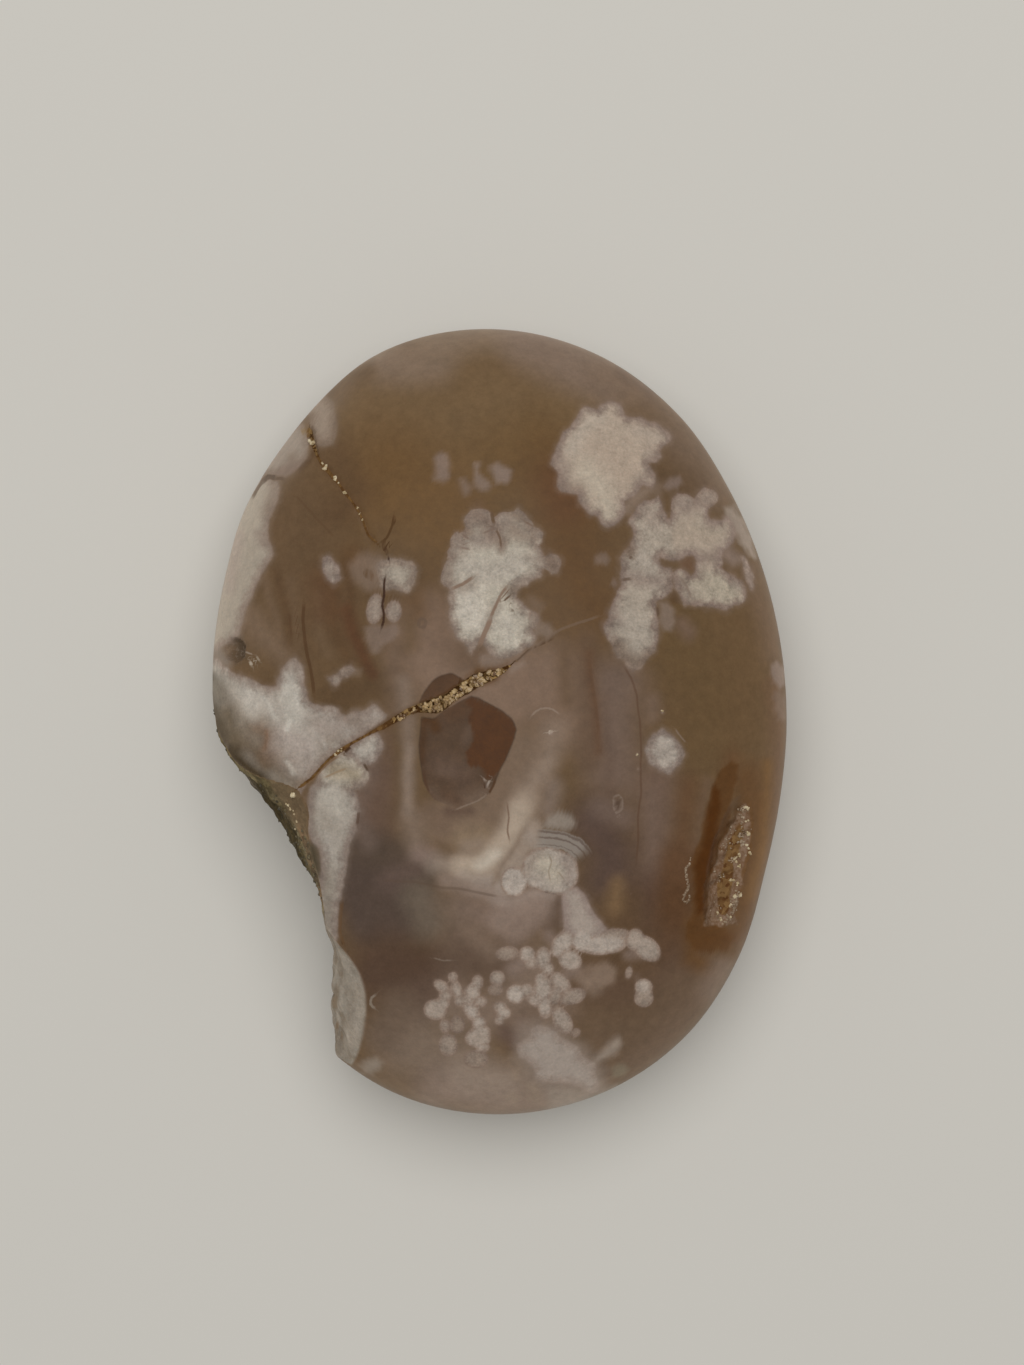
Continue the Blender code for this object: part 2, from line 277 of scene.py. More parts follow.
def stoneGrid():
    # Two round sheets that share the waist. The lower one is half as fine, so its outer squares take
    # in the upper one's extra points as five- and six-sided faces.
    cells = stoneForm["cellsAcross"]
    half = cells // 2
    ringUp, angleUp = roundSquare(cells)
    ringDown, angleDown = roundSquare(half)
    above, _ = pebblePoints(ringUp, angleUp, True)
    below, pushDown = pebblePoints(ringDown, angleDown, False)
    upIndex = np.arange((cells + 1) ** 2).reshape(cells + 1, cells + 1)
    shared = np.zeros((half + 1, half + 1), bool)
    shared[[0, -1], :] = shared[:, [0, -1]] = True
    downIndex = np.empty((half + 1, half + 1), int)
    downIndex[shared] = upIndex[::2, ::2][shared]
    downIndex[~shared] = len(above) + np.arange((~shared).sum())
    own = ~shared.ravel()
    points = np.concatenate([above, below[own]])
    angle = np.concatenate([angleUp, angleDown[own]])
    push = np.concatenate([np.zeros(len(above)), pushDown[own]])
    upQuads = np.stack([upIndex[:-1, :-1], upIndex[1:, :-1], upIndex[1:, 1:], upIndex[:-1, 1:]],
                       -1).reshape(-1, 4)
    faces = upQuads.tolist()
    corner = [downIndex[:-1, :-1], downIndex[:-1, 1:], downIndex[1:, 1:], downIndex[1:, :-1]]
    downQuads = np.stack(corner, -1).reshape(-1, 4)
    row, column = [k.ravel() for k in np.meshgrid(np.arange(half), np.arange(half), indexing="ij")]
    inner = (row > 0) & (row < half - 1) & (column > 0) & (column < half - 1)
    faces += downQuads[inner].tolist()
    for i, j in zip(row[~inner], column[~inner]):  # the ring of squares along the waist
        loop = [downIndex[i, j]]
        if i == 0:
            loop.append(upIndex[0, 2 * j + 1])
        loop.append(downIndex[i, j + 1])
        if j == half - 1:
            loop.append(upIndex[2 * i + 1, cells])
        loop.append(downIndex[i + 1, j + 1])
        if i == half - 1:
            loop.append(upIndex[cells, 2 * j + 1])
        loop.append(downIndex[i + 1, j])
        if j == 0:
            loop.append(upIndex[2 * i + 1, 0])
        faces.append([int(k) for k in loop])
    return points, angle, push, faces, len(above), upQuads, downQuads


def pointNormals(points, quads):
    # Each face's cross product of its diagonals, summed at its corners.
    across = np.cross(points[quads[:, 2]] - points[quads[:, 0]], points[quads[:, 3]] - points[quads[:, 1]])
    total = np.zeros_like(points)
    for k in range(4):
        np.add.at(total, quads[:, k], across)
    return total / np.maximum(np.linalg.norm(total, axis=1, keepdims=True), 1e-12)


def alongLine(places, line):
    # For each place: distance to a line of straight pieces, that distance with the sign of its side,
    # the half width there and the share of the way along.
    starts, steps = line[:-1, :2], np.diff(line[:, :2], axis=0)
    away = places[:, None] - starts
    share = np.clip((away * steps).sum(-1) / (steps ** 2).sum(-1), 0, 1)
    off = away - share[..., None] * steps
    gap = np.linalg.norm(off, axis=-1)
    best = gap.argmin(1)
    row = np.arange(len(places))
    side = steps[best, 0] * off[row, best, 1] - steps[best, 1] * off[row, best, 0]
    width = line[best, 2] + share[row, best] * (line[best + 1, 2] - line[best, 2])
    way = (best + share[row, best]) / len(steps)
    return gap[row, best], np.where(side < 0, -1, 1) * gap[row, best], width, way


def insideBy(places, outline):
    # Distance inside a closed outline, negative outside: the least distance to its straight sides,
    # with the sign from how often a ray to the right crosses them.
    ends = pairs(outline) if not isinstance(outline, np.ndarray) else outline
    depth = np.full(len(places), -6.0)
    near = np.all((places > ends.min(0) - 6) & (places < ends.max(0) + 6), axis=1)
    spots = places[near]
    nextEnds = np.roll(ends, -1, 0)
    sides = nextEnds - ends
    away = spots[:, None] - ends
    share = np.clip((away * sides).sum(-1) / np.maximum((sides ** 2).sum(-1), 1e-9), 0, 1)
    gap = np.linalg.norm(away - share[..., None] * sides, axis=-1).min(1)
    straddles = (ends[:, 1] > spots[:, 1:]) != (nextEnds[:, 1] > spots[:, 1:])
    rise = np.where(sides[:, 1] == 0, 1e-9, sides[:, 1])
    crossing = ends[:, 0] + (spots[:, 1:] - ends[:, 1]) / rise * sides[:, 0]
    odd = (straddles & (spots[:, :1] < crossing)).sum(1) % 2 == 1
    depth[near] = np.where(odd, gap, -gap)
    return depth


def pocketDepth(points, middle, halves, lean):
    # How deep a flattened ball set into the face reaches under each place: c x sqrt(1 - (a/A)^2 - (b/B)^2).
    turn = math.radians(lean)
    along = np.array([-math.sin(turn), -math.cos(turn)])
    off = points[:, :2] - np.array(middle)
    a, b = off @ along / halves[0], off @ np.array([-along[1], along[0]]) / halves[1]
    return halves[2] * np.sqrt(np.clip(1 - a * a - b * b, 0, 1)), np.hypot(a, b)


def pictured(points):
    # Where a ray from the camera through each point meets the waist's plane.
    cx, cy, top = studio["cameraPlace"]
    return np.array([cx, cy]) + (points[:, :2] - [cx, cy]) * (top - 10) / (top - points[:, 2:])


def shapeStone():
    points, angle, push, faces, upperCount, upQuads, downQuads = stoneGrid()
    points = grindShoulder(points)
    waist = grindShoulder(pebblePoints(np.ones(len(points)), angle, True)[0])
    points[:, 2] = np.maximum(points[:, 2], 0)
    x, y, z = points.T
    wall, drop = wallX(y, z)
    wallGap = x - wall
    onWall = wallGap < 0
    # points close to the crease slide onto it, so that it runs clean
    inBite = (y > -30.5) & (y < 5.2)
    crease = inBite & (np.abs(x - rimX(y)) < 0.11) & (z > stoneForm["waist"] + 1) & (drop < 0.6)
    points[onWall, 0] = wall[onWall]
    points[crease, 0] = rimX(y[crease])
    points[crease, 2] = faceHeight(points[crease, 0], y[crease])
    onWall &= ~crease
    quads = np.concatenate([upQuads, downQuads])
    normals = pointNormals(points, quads)
    below = np.where(onWall, smoothStep(0.05, 1.2, drop), 0) * (1 - .65 * smoothStep(-14, -18, y))
    grit = 0.6 - cellCentreGap(points, 1.1, 5) + 0.5 * (0.6 - cellCentreGap(points, 0.5, 6))
    points += normals * (hollow["grit"] * below * grit)[:, None]
    # the open veins, slit and pit, pressed in from the face
    upper = np.zeros(len(points), bool)
    upper[:upperCount] = True
    pressed = np.zeros(len(points))
    for name in ("mainVein", "upperVein"):
        gap, _, width, _ = alongLine(points[:, :2], pairs(openings[name], 3))
        cut = 0.8 * np.sqrt(np.clip(width ** 2 - gap ** 2, 0, None)) * (1 + 0.3 * drift(points, 0.4, 3))
        pressed = np.maximum(pressed, np.where(upper, cut, 0))
    slit, _ = pocketDepth(points, openings["slitMiddle"], openings["slitHalves"], openings["slitLean"])
    slit *= 0.85 + 0.35 * drift(points, 0.7, 8)
    slit *= 0.3 + 0.7 * smoothStep(-1.1, 0.5, insideBy(pictured(points), np.array(slitEdge).reshape(-1, 2)))
    pit, pitShare = pocketDepth(points, openings["pitMiddle"], openings["pitHalves"], 0)
    pressed = np.maximum(pressed, np.where(upper, np.maximum(slit, pit), 0))
    points -= normals * pressed[:, None]
    low, high = np.array(cadLow) / mm, np.array(cadHigh) / mm
    points = np.clip(points, low, high)
    # picture places: where a ray from the camera through the point meets the waist plane; below the
    # waist they run on outwards, so that a marking at the edge carries on down the side
    seen = pictured(points)
    beyond = waist[:, :2] + push[:, None] * np.stack([np.cos(angle), np.sin(angle)], 1)
    seen = np.where((push > 0)[:, None], beyond, seen)
    return dict(points=points, faces=faces, seen=seen, push=push, onWall=onWall, wallGap=wallGap,
                drop=drop, pitShare=np.where(upper, pitShare, 9), upper=upper, normals=normals)


stone = shapeStone()
print("stone shaped:", len(stone["points"]), "points")


# The markings are drawn in millimetres on the picture plane.
def paintFrom(red, green, blue):
    # Turns a tone as seen under the lamp (0 to 255) into the paint that gives it.
    seen = np.array([red, green, blue]) / 255
    light = np.where(seen <= 0.04045, seen / 12.92, ((seen + 0.055) / 1.055) ** 2.4)
    return np.clip((light - studio["litVeil"]) / studio["litGain"], 0.004, 0.95)


# Soft colours of the body, each (tone, strength, half width, softness, line of places), laid one on another.
bodyStrokes = [
    ((111, 90, 66), .9, 5, 4.5, [-9, 25, -2, 26, 5, 25]),  # olive top
    # golden brown between the vein and the small spots
    ((105, 81, 55), 1, 4.2, 3, [-9.5, 20, -6, 19, -4, 17]),
    ((103, 80, 54), .8, 2.5, 2.5, [0, 22, 3, 23]),
    ((98, 78, 58), 1, 3.2, 2.5, [-17, 17, -16, 12, -15, 8]),  # left middle
    ((93, 72, 51), .8, 2, 2, [-9, 10, -7.5, 8, -7, 11]),
    ((90, 70, 52), .7, 1.2, 1.5, [-13.5, 22, -12, 19.5, -13.5, 17.5]),
    ((96, 72, 49), .9, 2.6, 2.5, [4.5, 20.5, 6, 17, 6.5, 12, 8, 9]),  # reddish brown gap between the flowers
    ((98, 70, 50), .7, 1.6, 1.6, [5.2, 18, 4.5, 20]),
    ((100, 78, 56), .8, 2, 2, [2, 13, 4, 9, 7, 6]),
    # painted light: the pale top edge is the bright room reflected in the steep rim, and the rim lit where
    # it faces the lamp
    ((120, 102, 86), .95, 1.6, 1.5, [-10, 29.6, -8, 29.6, -5.5, 29.8]),  # pale top edge
    # painted shade: a dark band along the upper-left silhouette
    ((96, 76, 56), .9, .8, .9, [-14, 26.9, -13, 28, -11.6, 28.8]),
    # the pale band runs on round the top and upper right: painted reflection and light on the steep rim
    ((121, 103, 86), .95, 1.3, 1.4, [-5.5, 31, -1.5, 32.3, 1.5, 32]),
    ((120, 102, 88), .95, 2.3, 1.7, [2.5, 31.5, 5.5, 30, 9, 28.4]),
    ((112, 93, 77), .8, 1.5, 1.9, [9, 29, 13, 26.4, 16, 22.3, 18, 19.5]),
    ((104, 86, 72), .85, .45, .6, [10, 28.7, 12.4, 27.3]),
    ((78, 56, 36), .8, .3, .4, [-15.5, 21.9, -15.9, 21.5, -16.6, 21.1]),
    # haze between the right flowers
    ((130, 113, 99), .8, .5, .6, [10.6, 17.6, 11.4, 18.4, 12.6, 19.4, 13.4, 19.7]),
    ((104, 86, 71), .8, .8, 1.3, [14, 23.5, 16, 21, 17.5, 18.6]),
    ((93, 74, 56), .8, 1.2, 1.4, [13, 20.8, 14.8, 20, 15.6, 19.6]),
    ((98, 78, 55), 1, 4, 3.2, [15, 7, 18, 3, 18, -1]),  # olive right middle
    ((100, 79, 56), .9, 2, 2, [20.5, 8, 21, 3, 20.5, -1]),
    # painted light: the pale right edge is the room reflected in the steep rim, and light through the thin
    # edge
    ((108, 87, 69), .8, .6, 1, [20.8, 12.5, 22.2, 8.5, 22.8, 5.5]),  # pale right edge
    ((103, 78, 58), .8, .5, .9, [22.9, 3, 23.3, -2, 23.1, -8]),
    ((122, 101, 85), 1, 2.6, 2, [-6.5, 7, -4, 3.2, 0, 2, 4, 3.2]),  # mauve round the window
    ((121, 100, 84), .9, 2.2, 2, [2, 3, 4.5, 3, 5.5, 0]),
    ((115, 94, 78), .8, 1.4, 1.5, [-5.5, 9.5, -5, 7]),
    ((104, 84, 68), .8, 1.2, 1.2, [-3, 5.5, -1, 4.8]),
    ((109, 91, 79), 1, 2.2, 2, [9.5, 3, 9.5, -4]),  # grey-mauve upright bands
    ((98, 78, 62), .7, .9, 1, [6.9, 6.5, 7.2, 1.5, 7.6, -3]),
    ((107, 88, 76), .9, 1.6, 1.5, [13, -5, 13, -12]),
    ((111, 93, 81), .6, .5, .8, [12.6, -6, 12.9, -13.5]),
    ((110, 92, 79), .5, .35, .6, [10.2, 4, 10.6, -1, 10.8, -6]),
    ((96, 78, 66), .5, .35, .6, [8.8, 2, 9.2, -3, 9.2, -6]),
    ((86, 70, 62), .95, 2.2, 2, [8, -8.6, 9, -11, 9, -13]),  # bluish dark right of the round flower
    ((84, 66, 56), .9, 1.8, 2, [12.6, -14.5, 12, -17]),
    ((88, 63, 44), .95, 1.8, 1.6, [15.2, -12, 14.8, -16.5, 14.5, -19]),
    ((92, 73, 59), .9, 2.6, 2.5, [8.5, -22, 12, -22, 15, -20.5]),
    ((100, 82, 66), .9, 2.4, 2.2, [8, -26.5, 12, -26.5, 15.5, -23.5]),
    ((102, 84, 69), .8, .8, 1.2, [9, -29.6, 13, -27, 17, -22.7, 19.5, -18.5]),
    ((92, 72, 54), .9, 1.6, 1.6, [10.5, -16, 11, -19.5]),
    ((124, 99, 72), .85, .5, .8, [9.7, -13.6, 9.7, -15.6]),  # amber spot
    ((100, 81, 70), .9, 1.8, 1.8, [-11, -4.5, -11, -9]),  # left of the pale arch
    ((108, 91, 80), .7, .5, .8, [-10.6, -3, -11.4, -7.5]),
    ((98, 79, 67), .6, .5, .8, [-9.3, -1.6, -9.7, -5, -9.9, -9]),
    ((82, 69, 61), 1, 3.1, 1.8, [-9.9, -13.7, -8.6, -15.7]),  # dark cloud
    ((82, 69, 61), 1, 1.6, 1.3, [-11.4, -11, -11.8, -14, -11.2, -17]),
    ((84, 71, 61), .9, 1.4, 1.4, [-11.5, -10, -8, -11.3, -6.3, -12.6]),
    ((84, 66, 54), 1, 2.8, 2, [-9.8, -20.6, -6, -21.2]),
    ((97, 81, 73), .8, 1, 1.2, [-9, -13.2, -7.4, -12.6]),
    ((103, 91, 79), .95, 1.3, 1.3, [-6.7, -14.9, -5.8, -16.8]),  # pale patch in the cloud
    ((113, 97, 84), .8, 1.4, 1.6, [-3.6, -15.5, -3.4, -18]),
    ((120, 102, 90), .9, 1.9, 1.6, [-1.6, -15.8, 1.5, -16.5, 3.6, -15.6]),
    ((97, 80, 68), .9, 1.8, 1.5, [-2.5, -19.2, 0, -20, -3.5, -20.5]),
    # haze behind the round flowers
    ((121, 104, 91), .85, 1.9, 1.6, [-4, -23.8, -1, -24.4, 1.6, -22.8, 3, -21]),
    ((116, 98, 85), .7, 1.2, 1.2, [2.4, -25, 5.4, -23.6]),
    ((92, 75, 64), .85, 1.4, 1.3, [-6.5, -22.8, -7, -24.5]),
    ((117, 101, 87), 1, 2.6, 2, [-7.5, -27, -4, -28.6]),
    # painted reflection: paler along the low edge, where the steep rim mirrors the floor
    ((126, 109, 97), .9, 1.6, 1.6, [-5, -30.4, 0, -31.5, 5, -31.5]),
    ((138, 122, 109), .9, 1.5, 1.6, [-2.5, -29.6, .5, -30]),
    ((103, 87, 74), .8, 1.4, 1.4, [-9.5, -26, -8.8, -23.8]),
    ((98, 80, 70), .9, .8, .8, [.3, -26.1, .9, -26.6]),  # dark gap by the blurred flower
    ((95, 78, 66), .8, 1.2, 1, [4.2, -16.6, 4.8, -15.6]),
    # fan of stripes above the left white
    ((116, 97, 80), .8, .9, 1.2, [-20.8, 8.8, -19.6, 6.6, -18.4, 5.6]),
    ((112, 92, 74), .65, .3, .5, [-19.5, 12, -18.7, 8.5, -18.6, 6]),
    ((86, 65, 47), .6, .3, .55, [-18.4, 12.5, -17.7, 9, -17.6, 6.5]),
    ((106, 86, 67), .55, .3, .5, [-17.3, 12, -16.9, 8, -16.5, 5.5]),
    ((84, 62, 44), .7, .35, .6, [-12.9, 13, -12.4, 9, -11.6, 6, -11, 3.6]),  # reddish upright stripes
    ((88, 65, 46), .55, .4, .6, [-14, 11.3, -13.6, 8, -12.6, 5.2]),
    ((106, 87, 68), .55, .35, .6, [-15.2, 10.5, -14.8, 7.5, -14.2, 5.6]),
    ((90, 71, 52), .9, 1.4, 1.2, [-13.6, 1.9, -12, 2.6, -10.6, 3]),
    ((108, 89, 74), .8, .9, 1.2, [-8.6, 5.6, -8.2, 2.4, -8.4, 0.6]),
    ((106, 86, 71), .5, .4, .6, [17.2, -5, 16.7, -7, 16.5, -9, 16.2, -10.6]),
    ((95, 69, 45), .9, 1.6, 1.3, [20.6, -5, 21, -8, 20.8, -11, 20.2, -14, 19.8, -17]),
    ((96, 70, 48), .8, .7, .9, [19.2, -3, 18.9, -4.2]),
    ((88, 58, 32), .95, .7, .8, [17.4, -18, 18.6, -18.2]),
    ((95, 68, 42), .85, .7, .9, [16, -17, 16, -19.5, 17, -20.2]),
    ((96, 69, 43), .8, .4, .6, [21.6, -6.6, 21.5, -9.6, 21, -12.6, 20.4, -15.6]),
    ((111, 82, 50), .85, .35, .6, [22.4, -3.6, 22.2, -7, 21.9, -9.6, 21.4, -12.6, 20.9, -14.6]),
    ((96, 71, 52), .75, .8, 1, [15.7, -5.4, 15.4, -9, 15.1, -12.5]),
    ((118, 101, 88), .6, .8, .9, [18.3, -20.6, 17.4, -22.6]),
    # haze under the round flower
    ((147, 131, 120), .9, .6, .6, [-.4, -14.3, .8, -14.9, 2.8, -14.6, 4, -14.6]),
    ((137, 119, 107), .85, 1, .9, [0, -16.2, 1.9, -15.6, 3.2, -15.8]),
    ((132, 114, 102), .85, .8, .8, [1.1, -17.6, 2.3, -16.8]),
    ((131, 114, 103), .8, .6, .7, [1, -20.4, 1.6, -20]),
    ((130, 113, 103), .7, .5, .6, [3.8, -18.2, 4.4, -18.8]),
    ((132, 115, 104), .7, .6, .6, [5.8, -21, 6.6, -20.8]),
    ((124, 106, 94), .8, .6, .7, [1.5, -25.2, 2, -25.8]),
    ((99, 79, 61), .85, .6, .9, [5.2, 5.6, 5.5, 3.6, 5.6, 1.6]),
    ((99, 79, 58), .8, .7, .9, [-7.6, 8.4, -7.5, 6.6]),
    ((128, 111, 100), .8, .5, .5, [18.6, 14, 19.2, 13.4]),
    ((124, 108, 96), .8, .8, .9, [3.6, -7.6, 4.4, -5.6]),
    ((104, 81, 60), .85, .5, .6, [-1.6, 3.9, -.8, 3.6]),
    ((119, 101, 87), .8, .8, .9, [-2.4, -17.6, -.8, -18.8]),
    ((96, 72, 48), .8, .6, .7, [18.3, -19, 19.2, -19.4]),
    ((103, 88, 79), .8, .6, .8, [-11.2, -8.6, -10.9, -9.8]),
    ((112, 92, 78), .85, .6, .8, [14.9, 7.9, 15.5, 7.2]),
    ((113, 94, 80), .8, .5, .7, [12.6, 1.8, 12.9, .4]),
    ((126, 109, 98), .8, .4, .5, [10.8, -19.5, 11.5, -19.4]),
    ((126, 113, 101), .85, .5, .5, [-23.6, 6.2, -23.2, 5.4, -22.6, 5]),
    ((92, 66, 48), .6, 1, 1.2, [-15, 11.6, -14.6, 9.4]),  # reddish stripes of the left middle
    ((90, 62, 45), .75, .4, .5, [-12.9, 9.2, -12.2, 7.2, -11.2, 5.2, -10.6, 4.2]),
    ((124, 111, 99), .7, .5, .6, [-22.1, 7.6, -22, 6.6]),
    ((108, 91, 81), .8, .9, .9, [8.6, -7.2, 10.3, -7.9]),  # haze right of the arch
    ((97, 73, 51), .8, .8, .9, [-12.3, 13.6, -11.9, 12.8]),
    ((97, 74, 52), .75, .7, .9, [-7, 10.2, -6.8, 9.4]),
    ((107, 84, 65), .8, .6, .7, [-1.7, 17.8, -1.4, 17.1]),
    # brown sliver at the hollow's rim
    ((78, 69, 54), .95, .55, .4, [-15.6, -10.5, -15.3, -11.6, -15.2, -12.8]),
    ((122, 106, 94), .7, .6, .7, [-11.6, .1, -11.2, -.5]),
    ((93, 68, 50), .7, .3, .5, [7.3, 5.6, 7.7, 3, 8, 1, 8.3, -2.4]),
]

# The pale arch under the window, laid after the body.
archStrokes = [
    ((118, 99, 83), .9, 1.8, 1.3, [-4.6, -8.6, -2.4, -8.4, -.6, -7.4, 1, -5, 2, -2.6]),  # tan inside it
    ((110, 91, 76), .75, .9, 1, [-5.8, -7.6, -4.6, -8.2]),
    ((134, 115, 94), .8, .8, 1, [-3, -9.7, -1.4, -9.5]),
    ((124, 107, 93), .9, .5, .7, [-8, 3.2, -7.7, 1, -7.6, -1.5, -7.6, -4, -7.6, -7.6]),  # left limb
    ((135, 118, 104), .7, .3, .5, [-7.6, -2.4, -7.6, -5, -7.6, -7.6]),
    ((122, 105, 91), .85, .9, 1, [-7.3, -8.4, -7, -10]),
    ((128, 110, 100), .85, .6, .8, [-6.8, -11, -5.8, -11.2]),
    ((132, 114, 99), .85, .9, 1.1, [2.3, -6, 3.1, -4.6, 4, -3.2, 4.5, -1]),  # right limb
    ((138, 121, 106), .6, .5, .8, [2.4, -5.6, 3.3, -4.4, 4, -3.4]),
    ((140, 125, 112), .85, .8, .9, [-5.2, -11.9, -3.4, -12.2]),
    ((150, 133, 117), .9, 1.1, .8, [-3, -12.1, -1.2, -11.9, 0, -10.6, 1, -9.2, 1.5, -7.9, 2, -6.9]),
    ((166, 150, 133), .8, .7, .7, [-3.2, -12.1, -1.6, -12, -.6, -11.1, .4, -10, 1.2, -8.7, 1.6, -7.4]),
    ((188, 177, 162), .85, .35, .6, [-1.7, -11.9, -1.1, -11.6, -.4, -11]),
    ((152, 137, 124), .9, .5, .5, [-3, -13, -1.9, -13.1, -.9, -13.1]),
    ((150, 136, 125), .85, .55, .55, [-1.8, -13.7, .3, -13.8]),
    ((134, 117, 105), .85, .5, .6, [-4.6, -13.3, -2.6, -13.9, -.8, -14.3]),
    # ledge right of it
    ((147, 131, 117), .9, .6, .4, [.2, -12.5, 1, -11.5, 1.7, -10.7, 2.3, -9.8, 2.8, -8.7]),
    # a darker line along the ledge, painted as its shade
    ((124, 106, 90), .7, .12, .28, [-.6, -13.6, -.2, -12.6, .3, -11.8, .9, -11, 1.5, -10.1, 2, -9.1]),
    ((148, 134, 122), .85, .5, .5, [2.6, -9.6, 3, -10.4]),
    ((152, 137, 124), .8, .45, .5, [1.3, -12.3, 2, -11.6]),
    ((142, 125, 110), .7, .5, .6, [-2.8, -10.4, -1.8, -10.2]),
    ((88, 70, 60), .8, .35, .45, [-4.2, -7.6, -2.4, -7.5]),
    ((98, 75, 54), .9, .45, .45, [-1.6, 3.9, -.7, 3.6]),
]

